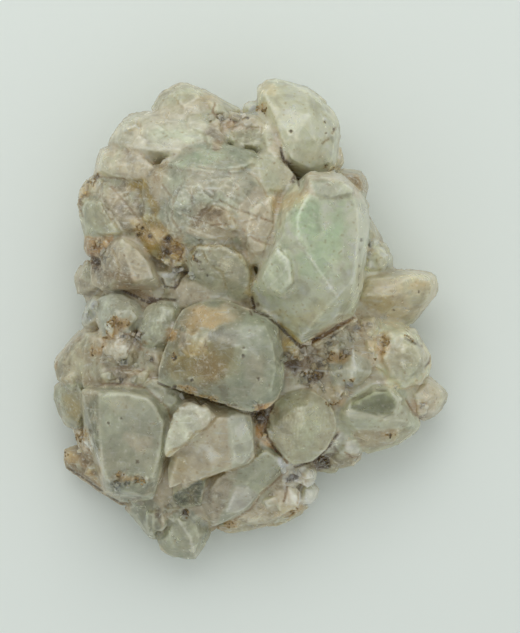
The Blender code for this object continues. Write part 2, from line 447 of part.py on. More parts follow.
def west_crystals(group):
    crystal(group, "southwest dome", 16, 6, [
        (-30.8, 2.0), (-30.2, 4.7), (-28.0, 5.4), (-25.5, 5.2), (-22.2, 3.2), (-21.0, 1.6), (-21.6, -1.6),
        (-25.0, -3.4), (-29.6, -3.0), (-31.0, -0.4),
    ], [
        (-28.9, 3.4, 21), (-26.6, 4.0, 21.8), (-23.6, 2.4, 23.4), (-22.6, 0.6, 23.6), (-24.6, -1.4, 23.4),
        (-28.4, -1.4, 21.8), (-29.6, 0.6, 20.6), (-26.4, 1.6, 24.0),
    ])
    crystal(group, "west shard", 10, 4, [
        (-34.1, -0.6), (-33.9, 0.6), (-33.0, 3.2), (-32.2, 4.4), (-30.2, 4.6), (-28.6, 1.0), (-30.4, -3.0),
        (-33.6, -1.6),
    ], [(-32.6, 1.4, 14.4), (-31.4, 3.2, 15.2), (-30.4, 0.4, 17), (-32.2, -0.6, 14.6)])
    crystal(group, "low shard", 12, 6, [
        (-33.2, 1.8), (-31.8, 5.0), (-29.4, 4.8), (-30.0, 1.2),
    ], [(-31.9, 2.8, 17.6), (-30.8, 4.0, 18.4), (-30.7, 2.0, 18.2)])
    crystal(group, "center west prism", 18, 8, [
        (-20.9, 2.7), (-19.0, 3.8), (-17.0, 4.2), (-15.4, 3.9), (-13.9, 2.6), (-13.4, -2.2), (-16.4, -5.6),
        (-20.8, -6.0), (-22.8, -3.6), (-21.8, 0.6),
    ], [
        (-19.6, 2.0, 24.4), (-17.2, 2.9, 25.2), (-15.4, 2.0, 25.6), (-15.0, -2.0, 26.2), (-17.4, -4.0, 25.4),
        (-20.4, -4.2, 24.2), (-20.4, 0.4, 24.8), (-18.4, -0.6, 26.6),
    ])
    crystal(group, "knot", 18, 8, [
        (-29.4, -3.6), (-26.4, -2.2), (-23.0, -2.8), (-21.2, -6.0), (-22.0, -9.6), (-26.4, -10.6), (-29.6, -8.8),
        (-30.6, -6.0),
    ], [
        (-27.6, -4.2, 22.8), (-24.4, -3.8, 23.4), (-22.8, -6.4, 23.4), (-24.0, -8.8, 23.2), (-27.6, -8.4, 22.4),
        (-28.8, -6.0, 22.2), (-25.6, -6.2, 25.2),
    ])
    crystal(group, "knot step", 17, 8, [
        (-29.8, -9.4), (-24.6, -9.2), (-20.4, -8.6), (-18.8, -11.6), (-21.4, -13.6), (-28.4, -13.4), (-30.6, -11.6),
    ], [(-28.2, -10.8, 22), (-24.0, -10.4, 22.6), (-20.6, -10.6, 23.4), (-21.6, -12.6, 23), (-27.6, -12.6, 22)])
    crystal(group, "druse step", 18, 9, [
        (-21.6, -5.4), (-17.6, -5.4), (-17.0, -9.6), (-18.4, -11.8), (-21.8, -10.4), (-22.4, -7.6),
    ], [(-20.6, -6.6, 23.6), (-18.4, -6.8, 24.2), (-18.2, -9.4, 23.8), (-20.6, -9.2, 23.2)])
    crystal(group, "shoulder saddle", 16, 8, [
        (-33.6, -2.4), (-29.4, -2.2), (-28.2, -6.0), (-28.4, -10.0), (-29.2, -13.8), (-33.4, -13.6), (-34.4, -8.0),
    ], [(-31.8, -3.4, 20.4), (-29.9, -3.6, 21.4), (-29.4, -8.0, 22.0), (-29.9, -12.2, 21.8), (-32.4, -11.6, 19.8)])
    crystal(group, "corner stone", 21, 12, [
        (-19.6, -11.6), (-16.6, -11.8), (-13.0, -13.6), (-14.0, -17.4), (-16.0, -19.0), (-18.6, -15.8),
        (-21.6, -13.8),
    ], [(-18.4, -13.0, 24.6), (-15.6, -13.6, 25.2), (-14.8, -16.2, 25.6), (-16.0, -17.2, 25.6), (-18.8, -14.6, 24.6)])
    crystal(group, "west shoulder", 12, 4, [
        (-33.6, -1.4), (-36.2, -4.2), (-38.6, -7.0), (-39.6, -9.2), (-39.0, -12.0), (-36.0, -14.6), (-30.6, -13.4),
        (-29.6, -6.0), (-31.0, -1.4),
    ], [
        (-33.0, -3.4, 18.2), (-35.2, -5.4, 17.4), (-37.2, -8.2, 16.2), (-37.4, -11.0, 15.8), (-34.0, -12.2, 17.6),
        (-31.2, -11.0, 19.6), (-31.0, -5.0, 20.4),
    ], shrink=0.74, drift=(2.5, 0.5))
    crystal(group, "shoulder edge", 10, 4, [
        (-34.4, -1.9), (-39.2, -7.4), (-39.6, -9.4), (-38.0, -10.6), (-36.4, -8.2), (-32.8, -3.6),
    ], [(-34.6, -3.4, 15.6), (-38.2, -8.0, 14.6), (-37.4, -8.6, 16.4), (-34.4, -4.4, 17.6)])
    crystal(group, "west lower", 9, 3, [
        (-39.6, -13.0), (-39.7, -15.8), (-38.7, -19.0), (-37.2, -21.1), (-35.0, -22.4), (-32.6, -21.4),
        (-31.4, -16.0), (-33.0, -11.6), (-37.4, -11.6),
    ], [
        (-38.0, -13.6, 13), (-38.0, -16.4, 12.8), (-36.6, -19.6, 13.4), (-34.6, -20.4, 14.8), (-33.2, -16.4, 18),
        (-34.4, -12.8, 17.6),
    ], shrink=0.75, drift=(2.5, 1.0))


def southwest_crystals(group):
    crystal(group, "southwest cube", 19, 6, [
        (-33.6, -13.8), (-30.0, -13.4, 20), (-25.0, -13.2, 20), (-19.6, -14.1, 20), (-17.9, -15.6), (-16.2, -18.2),
        (-15.8, -20.4), (-16.4, -24.0), (-17.3, -27.6), (-18.0, -31.4), (-18.9, -34.2), (-20.6, -35.0),
        (-25.0, -35.3, 18), (-29.4, -34.8, 17), (-30.0, -30.0, 17), (-31.0, -24.0, 17), (-33.4, -21.6, 16),
        (-33.8, -17.0, 17),
    ], [
        (-29.2, -14.9, 26.0), (-24.6, -14.5, 27.0), (-20.6, -15.3, 27.4), (-18.8, -17.2, 27.6),
        (-17.3, -20.6, 27.6), (-17.9, -25.6, 27.0), (-19.3, -31.0, 25.8), (-21.0, -32.9, 24.8),
        (-27.6, -33.2, 23.6), (-29.2, -29.6, 24.2), (-30.2, -22.6, 24.6), (-30.4, -16.6, 25.2),
    ], shrink=0.8, drift=(1.0, 2.0))
    crystal(group, "cube flank", 17, 7, [
        (-33.4, -15.0), (-31.6, -14.2), (-30.0, -15.6), (-29.6, -22.0), (-30.2, -27.6), (-31.6, -26.0),
        (-33.2, -21.6),
    ], [(-31.7, -16.2, 24.4), (-30.8, -16.4, 25.6), (-30.3, -21.0, 25.4), (-30.8, -24.4, 23.8), (-32.0, -20.6, 22.6)])
    crystal(group, "rust corner", 10, 3, [
        (-36.0, -21.4), (-33.2, -21.2), (-31.0, -22.2), (-30.0, -26.4), (-32.6, -28.4), (-34.6, -25.8),
        (-34.8, -23.4),
    ], [(-33.8, -22.6, 14), (-31.8, -23.0, 15.6), (-31.6, -25.8, 14.6), (-33.4, -25.0, 13)])
    crystal(group, "rust corner tooth", 12, 8, [
        (-33.0, -23.8), (-31.5, -24.0), (-31.3, -25.6), (-32.6, -26.2), (-33.4, -25.0),
    ], [(-32.4, -24.7, 17.2), (-31.9, -24.9, 17)])
    crystal(group, "southwest wedge", 5, 1.5, [
        (-37.8, -25.9), (-34.6, -25.4), (-32.0, -26.6), (-28.0, -31.0), (-25.0, -34.6), (-24.2, -37.2),
        (-26.0, -37.6), (-30.0, -35.1), (-33.4, -32.8), (-37.4, -29.8), (-37.9, -28.6),
    ], [
        (-36.4, -26.8, 8.6), (-34.0, -27.0, 9.8), (-30.4, -29.6, 11.6), (-27.4, -33.4, 11.8), (-29.6, -33.2, 9),
        (-36.2, -28.8, 7.6),
    ], shrink=0.74, drift=(2.0, 2.0))
    crystal(group, "cube sill", 14, 5, [
        (-30.2, -29.0), (-28.6, -35.4), (-24.6, -36.6), (-19.4, -35.8), (-18.2, -32.0), (-24.0, -28.0),
    ], [(-28.4, -31.0, 20), (-27.2, -34.0, 18.4), (-21.4, -34.6, 19.2), (-20.0, -32.4, 21)])
    crystal(group, "southwest shard", 7, 2.5, [
        (-24.2, -35.6), (-20.0, -35.2), (-17.4, -38.0), (-18.0, -42.8), (-18.9, -44.2), (-20.4, -44.0),
        (-21.8, -42.0), (-23.6, -39.6), (-25.5, -37.8),
    ], [(-23.2, -37.0, 13), (-20.0, -36.8, 14.4), (-18.8, -39.8, 12.4), (-19.6, -42.4, 10.6), (-22.2, -39.6, 11)],
        shrink=0.76, drift=(0.5, 2.5))
    crystal(group, "shard blade", 8, 4, [
        (-21.4, -37.0), (-19.4, -38.2), (-19.2, -43.6), (-20.2, -43.8), (-21.8, -41.4),
    ], [(-20.8, -38.2, 14.6), (-19.8, -39.0, 14.8), (-19.8, -42.4, 12.2), (-20.9, -40.8, 12.8)])
    crystal(group, "white flake", 26.6, 20, [
        (-11.4, -15.9), (-8.4, -17.2), (-6.9, -19.0), (-9.0, -21.4), (-11.2, -22.0), (-13.0, -24.4),
        (-15.0, -25.2), (-16.2, -27.3), (-17.0, -27.0), (-17.1, -25.2), (-16.4, -22.0), (-15.6, -19.8),
        (-15.0, -18.0), (-13.5, -16.6),
    ], [
        (-11.6, -16.6, 28.6), (-8.8, -17.8, 29.0), (-8.0, -19.2, 29.0), (-10.8, -21.2, 29.4),
        (-12.8, -23.6, 29.2), (-15.8, -26.0, 28.4), (-16.2, -24.8, 28.2), (-15.0, -20.4, 29.2),
        (-14.0, -17.6, 28.8),
    ], shrink=0.92)


def middle_crystals(group):
    crystal(group, "middle block", 24, 9, [
        (-14.5, 0.6), (-13.6, 2.1), (-11.0, 3.3), (-7.0, 4.1), (-4.8, 3.9), (-2.8, 3.1), (-0.8, 1.6), (3.0, 1.2),
        (4.6, 0.2), (5.5, -1.4), (6.0, -4.4), (6.5, -7.4), (6.7, -10.2), (6.4, -13.0), (5.5, -15.2), (4.0, -17.0),
        (2.4, -17.9), (0.4, -18.3), (-1.6, -17.9), (-4.2, -16.7), (-8.0, -15.3), (-12.0, -14.2), (-16.0, -13.2),
        (-18.4, -12.2), (-18.3, -9.4), (-17.0, -5.6), (-16.0, -2.8),
    ], [
        (-13.6, -0.4, 30.0), (-11.0, 1.4, 30.4), (-6.6, 2.2, 31.0), (-3.6, 1.4, 31.6), (-1.4, -0.8, 33.4),
        (2.8, -1.2, 33.2), (4.2, -4.6, 34.0), (4.9, -9.6, 34.2), (4.0, -13.6, 33.4), (1.0, -16.0, 32.2),
        (-2.6, -15.6, 32.2), (-8.4, -13.2, 31.8), (-14.0, -11.8, 30.6), (-16.4, -10.4, 29.6), (-15.6, -6.4, 30.2),
        (-13.4, -6.8, 32.6), (-8.0, -6.6, 34.8), (-2.8, -5.0, 35.6), (1.6, -7.4, 35.6), (-4.4, -11.0, 35.0),
        (-8.6, -2.4, 34.0), (-12.4, -2.2, 32.4),
    ], shrink=0.72)
    crystal(group, "block window", 28, 22, [
        (-13.8, -2.2), (-8.4, -2.6), (-8.6, -6.4), (-12.8, -7.4), (-14.2, -5.2),
    ], [(-12.6, -3.2, 32.7), (-9.4, -3.6, 34.3), (-9.6, -5.6, 34.6), (-12.2, -6.0, 33.1)])
    crystal(group, "south mid block", 19, 7, [
        (-15.2, -24.6), (-16.6, -29.6), (-16.4, -33.4), (-12.2, -32.4), (-8.6, -31.1), (-5.0, -29.9),
        (-2.2, -29.2), (0.1, -28.4), (0.8, -27.0), (0.5, -22.4), (-0.1, -18.0), (-4.0, -17.0), (-9.0, -17.0),
        (-14.0, -20.0),
    ], [
        (-13.8, -25.0, 26.4), (-14.8, -29.2, 24.6), (-14.0, -31.0, 23.2), (-8.8, -29.4, 24.2), (-4.4, -28.2, 24.6),
        (-3.4, -24.0, 26.2), (-4.4, -19.4, 27.2), (-8.0, -19.2, 27.4), (-12.8, -22.0, 27.4), (-0.9, -26.6, 23.4),
        (-1.4, -19.6, 24.6),
    ], shrink=0.76)
    crystal(group, "mid spar", 21, 12, [
        (-4.8, -17.6), (-1.0, -17.4), (0.3, -19.6), (0.7, -25.4), (-1.4, -28.4), (-4.0, -28.8), (-3.2, -23.6),
    ], [(-3.8, -18.8, 27.2), (-1.5, -18.6, 26.4), (-0.6, -21.6, 25.8), (-1.2, -26.4, 24.8), (-3.4, -27.6, 25.4)])
    crystal(group, "green window", 15, 6, [
        (-8.1, -31.2), (-9.2, -34.0), (-10.0, -37.0), (-14.2, -37.1), (-15.7, -35.2), (-15.6, -32.0),
        (-12.0, -30.0),
    ], [(-9.2, -31.6, 22.6), (-10.6, -35.8, 19.4), (-13.8, -35.9, 19), (-14.4, -33.8, 20.6), (-12.0, -31.4, 22.6)])


def south_crystals(group):
    crystal(group, "south slab", 12, 4, [
        (-9.6, -34.0), (-8.2, -30.8), (-5.0, -29.6), (0.0, -27.6), (1.6, -24.4), (2.8, -24.2), (5.2, -25.8),
        (7.2, -27.4), (7.7, -28.5), (6.8, -30.0), (4.4, -32.2), (1.8, -34.2), (1.0, -35.4), (-0.4, -37.6),
        (-3.6, -39.7), (-7.6, -41.6), (-9.2, -40.2), (-9.8, -37.0),
    ], [
        (-7.8, -33.2, 20.0), (-6.4, -31.4, 21.4), (0.4, -28.2, 22.2), (3.0, -26.0, 22.2), (5.6, -27.6, 20.8),
        (5.8, -28.8, 19.8), (0.4, -34.4, 17.8), (-1.0, -36.6, 16.8), (-4.4, -38.6, 16.0), (-7.4, -39.6, 16.0),
        (-7.6, -36.6, 18.4), (-0.6, -32.4, 20.8),
    ], shrink=0.72, drift=(0.5, 3.0))
    crystal(group, "slab window", 15, 8, [
        (-3.6, -32.6), (-0.4, -32.8), (0.8, -34.0), (0.6, -36.0), (-1.4, -38.0), (-4.8, -39.0), (-6.2, -38.0),
    ], [(-3.2, -34.2, 20.4), (-0.8, -34.0, 19.6), (-0.4, -35.6, 18.2), (-2.4, -37.4, 17.6), (-4.8, -37.4, 18)])
    crystal(group, "south cone", 17, 5, [
        (4.6, -16.6), (7.0, -14.8), (10.0, -13.9), (12.2, -14.0), (15.0, -15.9), (16.6, -18.4), (17.2, -20.6),
        (17.0, -22.2), (15.0, -25.8), (13.0, -27.8), (11.0, -28.5), (8.6, -28.9), (7.2, -28.1), (5.0, -25.6),
        (2.8, -22.6), (3.2, -20.4), (4.0, -18.4),
    ], [
        (8.8, -17.4, 24.4), (11.2, -17.0, 24.4), (13.6, -19.2, 23.6), (14.2, -21.6, 22.8), (12.2, -25.2, 21.6),
        (9.4, -26.2, 21.4), (6.6, -23.6, 22.8), (6.6, -19.8, 24.0), (9.8, -20.6, 25.2),
    ], shrink=0.76, drift=(0.0, 1.5))
    crystal(group, "south rim", 5, 1.5, [
        (-7.6, -41.9), (-4.0, -43.2), (0.0, -42.4), (5.0, -41.6), (10.0, -39.3), (11.8, -37.8), (9.0, -33.0),
        (6.0, -30.0), (0.0, -33.0), (-6.0, -38.0),
    ], [
        (-5.2, -41.0, 9.4), (0.0, -40.4, 10.4), (5.0, -39.4, 10.4), (9.8, -37.4, 9.4), (7.2, -33.4, 13.6),
        (1.4, -35.6, 13.6), (-3.4, -38.8, 12.6),
    ], shrink=0.76, drift=(-1.0, 4.0))
    crystal(group, "rim block", 9, 4, [
        (1.6, -36.4), (3.0, -34.6), (5.6, -34.2), (6.6, -36.0), (5.2, -38.4), (2.6, -38.2),
    ], [(2.8, -36.2, 15.2), (4.8, -35.4, 15.4), (5.2, -36.8, 14.4), (3.4, -37.2, 14.2)])
    crystal(group, "south tip", 7, 2.5, [
        (-17.0, -40.0), (-14.6, -38.2), (-11.8, -38.2), (-9.4, -40.4), (-7.9, -42.2), (-8.1, -43.4),
        (-9.1, -45.2), (-10.9, -48.0), (-13.0, -48.2), (-16.0, -47.6), (-18.2, -46.3), (-18.7, -44.8),
        (-18.0, -41.6),
    ], [
        (-15.2, -39.4, 14.2), (-13.8, -40.4, 14.6), (-12.2, -43.4, 13.2), (-11.6, -46.4, 10.8), (-10.4, -43.0, 12.4),
        (-16.4, -43.2, 12.4), (-15.6, -45.4, 11.0), (-11.2, -40.2, 13.6),
    ], shrink=0.66, drift=(0.5, 4.0))
    crystal(group, "tip collar", 9, 4, [
        (-18.6, -37.0), (-14.0, -36.6), (-9.6, -37.0), (-9.8, -40.0), (-14.0, -40.8), (-18.4, -40.4),
    ], [(-16.8, -37.8, 14.6), (-11.4, -37.8, 15), (-11.6, -39.2, 13.6), (-16.6, -39.4, 13.4)])
    crystal(group, "grape west", 11, 5, [
        (6.8, -29.4), (8.6, -28.6), (10.2, -29.6), (10.4, -32.0), (8.6, -33.2), (6.8, -32.4), (6.2, -30.8),
    ], [(7.8, -30.2, 16.6), (9.2, -30.2, 16.4), (9.2, -31.8, 15.8), (7.8, -31.8, 15.6)])
    crystal(group, "grape middle", 10, 5, [
        (10.0, -28.6), (12.4, -28.8), (13.4, -30.4), (12.9, -32.4), (11.0, -33.2), (9.8, -31.6),
    ], [(10.9, -29.8, 15.4), (12.3, -30.2, 15), (12.0, -31.6, 14.4), (10.8, -31.6, 14.6)])
    crystal(group, "grape south", 8, 3, [
        (10.0, -32.7), (12.5, -32.5), (13.8, -34.0), (13.4, -35.6), (12.2, -37.1), (10.3, -37.0), (9.2, -35.2),
    ], [(10.8, -33.8, 12.8), (12.2, -33.8, 12.6), (12.3, -35.2, 11.8), (10.8, -35.7, 12)])
    crystal(group, "grape seed", 9, 5, [
        (6.9, -34.8), (7.8, -33.2), (9.4, -34.4), (9.6, -36.6), (7.9, -36.7),
    ], [(7.9, -34.6, 13.8), (8.7, -35.0, 13.6), (8.5, -35.8, 13)])
    crystal(group, "south egg", 9, 4, [
        (17.2, -22.9), (19.2, -22.2), (22.3, -23.9), (22.8, -25.6), (22.1, -28.0), (20.6, -29.4), (18.0, -29.9),
        (16.0, -29.4), (15.2, -27.4), (16.0, -25.0),
    ], [
        (18.2, -24.0, 14.4), (20.2, -24.0, 14.6), (21.6, -25.6, 13.6), (21.0, -27.6, 12.2), (18.6, -28.6, 11.8),
        (17.0, -27.2, 12.8), (19.2, -25.4, 15.2),
    ], shrink=0.7, drift=(-1.0, 3.0))
    crystal(group, "south notch", 6, 2, [
        (11.6, -28.0), (16.6, -25.0), (18.0, -29.6), (17.0, -31.0), (15.0, -30.4), (12.6, -30.6),
    ], [(13.4, -28.4, 8.6), (16.0, -26.8, 9.4), (16.0, -29.2, 8.4)], shrink=0.8, drift=(-1.0, 2.0))


def east_crystals(group):
    crystal(group, "southeast wedge", 11, 4, [
        (16.4, -18.4), (20.0, -15.0), (24.0, -12.6), (27.4, -12.2), (30.4, -14.6), (32.0, -18.0), (34.2, -20.4),
        (33.7, -22.0), (32.1, -23.4), (28.6, -25.5), (26.0, -26.3), (23.0, -26.9), (20.0, -23.4),
        (16.8, -20.8),
    ], [
        (19.6, -16.8, 20.0), (24.4, -14.0, 20.6), (27.6, -13.9, 20.2), (29.6, -16.6, 18.8), (28.8, -19.4, 18.8),
        (26.4, -19.9, 19.2), (19.0, -18.6, 19.8), (32.0, -20.8, 15.4), (31.0, -22.4, 14.6), (26.4, -24.2, 14.8),
        (23.6, -24.6, 14.8), (21.0, -21.6, 17.6),
    ], shrink=0.72, drift=(-2.0, 3.0))
    crystal(group, "wedge hood", 15, 8, [
        (19.4, -15.8), (24.2, -12.8), (28.0, -12.8), (30.2, -15.6), (29.6, -19.4), (26.4, -20.2), (19.6, -18.4),
    ], [(20.8, -16.4, 20.8), (24.6, -14.4, 21.6), (27.4, -14.4, 21.4), (28.8, -16.2, 20.4), (28.2, -18.6, 19.8), (26.2, -19.2, 20)])
    crystal(group, "lower band", 10, 4, [
        (19.0, -20.4), (27.0, -20.8), (33.0, -20.2), (33.6, -21.8), (31.6, -23.6), (27.0, -24.4), (22.0, -23.6),
    ], [(21.6, -21.4, 17.2), (27.0, -21.5, 17), (31.8, -21.0, 15.6), (31.0, -22.4, 14.6), (25.6, -23.0, 15.4)])
    crystal(group, "east tip", 7, 2.5, [
        (35.8, -11.0), (38.0, -12.9), (39.7, -14.7), (39.3, -16.5), (38.1, -18.6), (36.5, -19.8), (34.6, -20.4),
        (31.6, -18.6), (30.6, -15.0), (32.6, -11.6),
    ], [
        (35.4, -12.6, 12.8), (37.6, -14.4, 11.6), (38.0, -16.4, 10.8), (36.4, -18.2, 11.2), (33.6, -18.4, 13.2),
        (32.8, -15.0, 14.6), (35.6, -15.4, 13.8),
    ], shrink=0.68, drift=(-3.0, 1.5))
    crystal(group, "east knob", 13, 5, [
        (25.4, -0.4), (29.6, -0.6), (33.0, -1.8), (34.6, -4.2), (36.1, -7.0), (36.3, -9.2), (35.7, -11.2),
        (33.6, -12.6), (30.6, -13.8), (27.0, -12.8), (24.4, -9.0), (24.0, -3.6),
    ], [
        (27.2, -2.6, 20.4), (30.6, -2.6, 20.2), (32.6, -4.4, 19.8), (34.0, -7.2, 18.6), (33.6, -10.0, 18),
        (31.0, -11.6, 18.6), (28.2, -10.8, 20), (26.6, -7.6, 21.2), (30.2, -6.2, 21.8),
    ], shrink=0.7, drift=(-2.5, 1.0))
    crystal(group, "knob cap", 16, 9, [
        (29.8, -3.4), (33.0, -4.0), (35.4, -7.2), (34.6, -10.4), (31.2, -12.0), (28.2, -9.6), (28.2, -5.6),
    ], [(30.6, -5.0, 21.6), (32.6, -5.4, 21), (33.6, -7.6, 20), (32.6, -9.4, 19.8), (29.8, -8.6, 21.4)])
    crystal(group, "small pyramid", 15, 8, [
        (20.0, -4.2), (23.6, -7.0), (24.2, -10.6), (21.6, -13.2), (17.0, -13.4), (14.6, -10.0), (16.2, -7.6),
    ], [(20.1, -5.6, 21.6), (20.2, -9.6, 24.2), (20.0, -11.6, 22.6), (17.8, -10.6, 21.8)])
    crystal(group, "rubble slat", 16, 8, [
        (11.0, -5.4), (15.4, -3.0), (20.0, -0.2), (23.0, -0.8), (23.6, -4.0), (20.0, -6.6), (14.0, -8.4),
        (10.4, -8.0),
    ], [(12.6, -6.0, 20.4), (17.0, -3.2, 21.8), (20.6, -1.6, 21.8), (21.4, -3.8, 21.6), (16.0, -6.6, 21)])
    crystal(group, "upper slat", 19, 12, [
        (10.8, -4.6), (20.6, 1.2), (21.4, 0.0), (12.0, -5.8),
    ], [(12.4, -4.3, 22.6), (19.8, 0.0, 23.4), (19.6, -0.8, 23.4), (12.8, -4.9, 22.6)])
    crystal(group, "rubble wedge", 15, 8, [
        (21.0, 0.4), (24.8, 0.8), (25.6, -2.4), (24.0, -5.0), (21.2, -3.6),
    ], [(22.2, -0.4, 21.4), (24.0, -0.6, 21.2), (23.8, -2.8, 20.8), (22.2, -2.4, 21.4)])
    crystal(group, "brown pocket stone", 14, 7, [
        (13.6, -6.8), (18.6, -5.6), (20.2, -8.2), (18.4, -10.2), (14.0, -9.8), (12.4, -8.2),
    ], [(14.8, -7.6, 20.6), (18.0, -6.8, 21.4), (18.4, -8.6, 20.6), (15.0, -8.8, 19.8)])
    crystal(group, "east prism", 11, 5, [
        (22.0, 8.6), (24.0, 9.4), (28.6, 10.0), (32.5, 10.3), (35.0, 9.9), (37.2, 9.0), (37.7, 6.4), (37.2, 4.9),
        (35.6, 3.0), (33.2, -0.1), (32.2, -1.0), (27.0, -0.2), (22.0, 1.0), (20.0, 5.0),
    ], [
        (24.0, 8.0, 18.6), (32.4, 8.9, 18.8), (34.6, 8.4, 18.4), (36.2, 7.0, 16.4), (35.4, 5.0, 17.2),
        (26.0, 4.9, 20.2), (22.4, 5.0, 20.0), (33.0, 1.8, 14.8), (24.0, 2.0, 17.6),
    ], shrink=0.66, drift=(-3.5, 0.0))
    crystal(group, "east bud", 10, 4, [
        (22.6, 14.2), (24.4, 15.6), (27.1, 15.5), (28.7, 12.6), (28.5, 10.2), (26.0, 8.6), (22.0, 9.0),
        (21.0, 12.0),
    ], [(24.0, 14.4, 16.0), (26.4, 14.2, 16.0), (27.5, 12.4, 14.8), (27.0, 10.4, 15), (23.4, 10.4, 17.6)],
        shrink=0.7, drift=(-1.5, 0.0))
    crystal(group, "east wedge", 9, 4, [
        (22.0, 23.6), (23.4, 21.2), (25.2, 18.8), (26.6, 16.0), (26.0, 14.0), (21.0, 13.0), (20.0, 22.0),
    ], [(22.6, 21.0, 16.6), (24.8, 16.6, 15.4), (23.8, 14.8, 16.8), (21.8, 16.0, 20)], shrink=0.72, drift=(-1.5, 0.0))
    crystal(group, "east sliver", 15, 8, [
        (22.4, 24.4), (23.4, 23.6), (23.7, 20.0), (23.4, 16.4), (21.0, 17.0), (20.6, 23.0),
    ], [(22.6, 22.8, 20.6), (22.7, 19.4, 21), (21.6, 19.4, 22)])


def join_to(rock, group):
    """Joins all the crystals to the rock for good."""
    union = rock.modifiers.new("grown together", "BOOLEAN")
    union.operation = "UNION"
    union.solver = "EXACT"
    union.operand_type = "COLLECTION"
    union.collection = group
    graph = bpy.context.evaluated_depsgraph_get()
    rock.data = bpy.data.meshes.new_from_object(rock.evaluated_get(graph))
    rock.modifiers.remove(union)


def fill_pockets(rock):
    """Fills the pockets that are closed in on all sides: of the separate skins, only the outer one stays."""
    body = bmesh.new()
    body.from_mesh(rock.data)
    body.faces.ensure_lookup_table()
    skins = []
    seen = set()
    for first in body.faces:
        if first.index in seen:
            continue
        seen.add(first.index)
        skin = [first]
        for face in skin:
            for edge in face.edges:
                for other in edge.link_faces:
                    if other.index not in seen:
                        seen.add(other.index)
                        skin.append(other)
        skins.append(skin)
    skins.sort(key=lambda skin: sum(face.calc_area() for face in skin))
    inner = [face for skin in skins[:-1] for face in skin]
    bmesh.ops.delete(body, geom=inner, context="FACES")
    body.to_mesh(rock.data)
    body.free()


def thin_out(rock):
    """Merges faces that lie in one plane, then the shortest edges that the joining left."""
    body = bmesh.new()
    body.from_mesh(rock.data)
    bmesh.ops.dissolve_limit(
        body, angle_limit=math.radians(PLANE_LIMIT), verts=body.verts[:], edges=body.edges[:], use_dissolve_boundaries=False
    )
    bmesh.ops.triangulate(body, faces=body.faces[:])
    share = MOST_TRIANGLES / len(body.faces)
    body.to_mesh(rock.data)
    body.free()
    fewer = rock.modifiers.new("shortest edges merged", "DECIMATE")
    fewer.ratio = min(share, 1.0)
    graph = bpy.context.evaluated_depsgraph_get()
    rock.data = bpy.data.meshes.new_from_object(rock.evaluated_get(graph))
    rock.modifiers.remove(fewer)


def build_cluster():
    group = bpy.data.collections.new("crystals")
    bpy.context.scene.collection.children.link(group)
    north_crystals(group)
    northwest_crystals(group)
    central_crystals(group)
    great_crystal(group)
    west_crystals(group)
    southwest_crystals(group)
    middle_crystals(group)
    south_crystals(group)
    east_crystals(group)
    flank_crystals(group)
    rubble(group)
    rock = rock_crust(bpy.context.scene.collection)
    rock.name = "datolite_cluster"
    join_to(rock, group)
    for member in list(group.objects):
        bpy.data.objects.remove(member)
    fill_pockets(rock)
    thin_out(rock)
    return rock


def crystal_material():
    made = bpy.data.materials.new("datolite")
    made.use_nodes = True
    surface = made.node_tree.nodes["Principled BSDF"]
    surface.inputs["Base Color"].default_value = CRYSTAL_COLOUR
    surface.inputs["Roughness"].default_value = CRYSTAL_ROUGHNESS
    return made


clear_scene()
cluster = build_cluster()
cluster.data.materials.append(crystal_material())
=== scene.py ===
"""Dresses the datolite cluster: pale green, milky crystals on their own rusty rock.

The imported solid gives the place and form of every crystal. A fine copy of it is worn, etched, pitted
and cracked here, and takes its tints from the crystals that lie at each spot seen from above. Lengths in
the tables are millimetres, with +X to the right and +Y towards the top of the picture, as in the frame.
"""

import math

import bmesh
import bpy
import numpy as np
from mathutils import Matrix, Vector, noise


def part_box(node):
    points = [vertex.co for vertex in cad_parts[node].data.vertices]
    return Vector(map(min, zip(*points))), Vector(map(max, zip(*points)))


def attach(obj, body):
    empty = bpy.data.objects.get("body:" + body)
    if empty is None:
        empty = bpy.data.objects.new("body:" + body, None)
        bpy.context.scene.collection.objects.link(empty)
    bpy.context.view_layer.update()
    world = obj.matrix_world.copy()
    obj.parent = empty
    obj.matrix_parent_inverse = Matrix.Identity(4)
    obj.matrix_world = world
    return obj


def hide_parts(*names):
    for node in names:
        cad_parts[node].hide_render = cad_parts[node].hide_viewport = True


MM = 0.001
NODE = "datolite_cluster"

# The fine skin: the grid it is made on, its most triangles, and how its sharp edges are worn.
GRID = 0.35
MOST_TRIANGLES = 192000
WEAR_PASSES = 3
WEAR_STEP = 0.012
CLEFT_WEAR = 0.25
WELD = 1e-6

# How far the rock between the crystals fills their clefts, and a point's sink that counts as a cleft.
FILL_PASSES = 110
FILL_STEP = 0.6
MOST_FILL = 3.6
MORE_FILL = 4.0
LEAST_SINK = 0.07
FULL_SINK = 0.34
SINK_PASSES = 40
SOFTEN_PASSES = 12

# Gaps that are filled further: the middle, the reach along and across, and the turn.
GAPS = (
    (-19.4, 33.0, 4.0, 2.2, 0), (0.0, 34.6, 5.0, 2.0, -10), (7.8, 30.0, 2.4, 4.6, 30),
    (0.4, 10.4, 1.6, 3.0, 0), (-12.0, -15.8, 5.0, 1.6, -16), (-4.0, -30.4, 6.0, 1.4, 18),
    (-16.4, -31.0, 1.8, 5.0, 0), (3.4, -23.0, 1.6, 6.0, 14), (-17.4, -24.0, 1.8, 9.0, 4),
    (-25.0, -13.4, 7.0, 1.4, 0), (-31.6, -22.0, 1.6, 8.0, 0), (-8.0, 4.6, 8.0, 1.2, 0),
)

# What shows from above stays on the grid: a point counts when it is this near the top of its square.
SEEN_SQUARE = 0.5
SEEN_BAND = 1.0
SEEN_TILT = 0.38

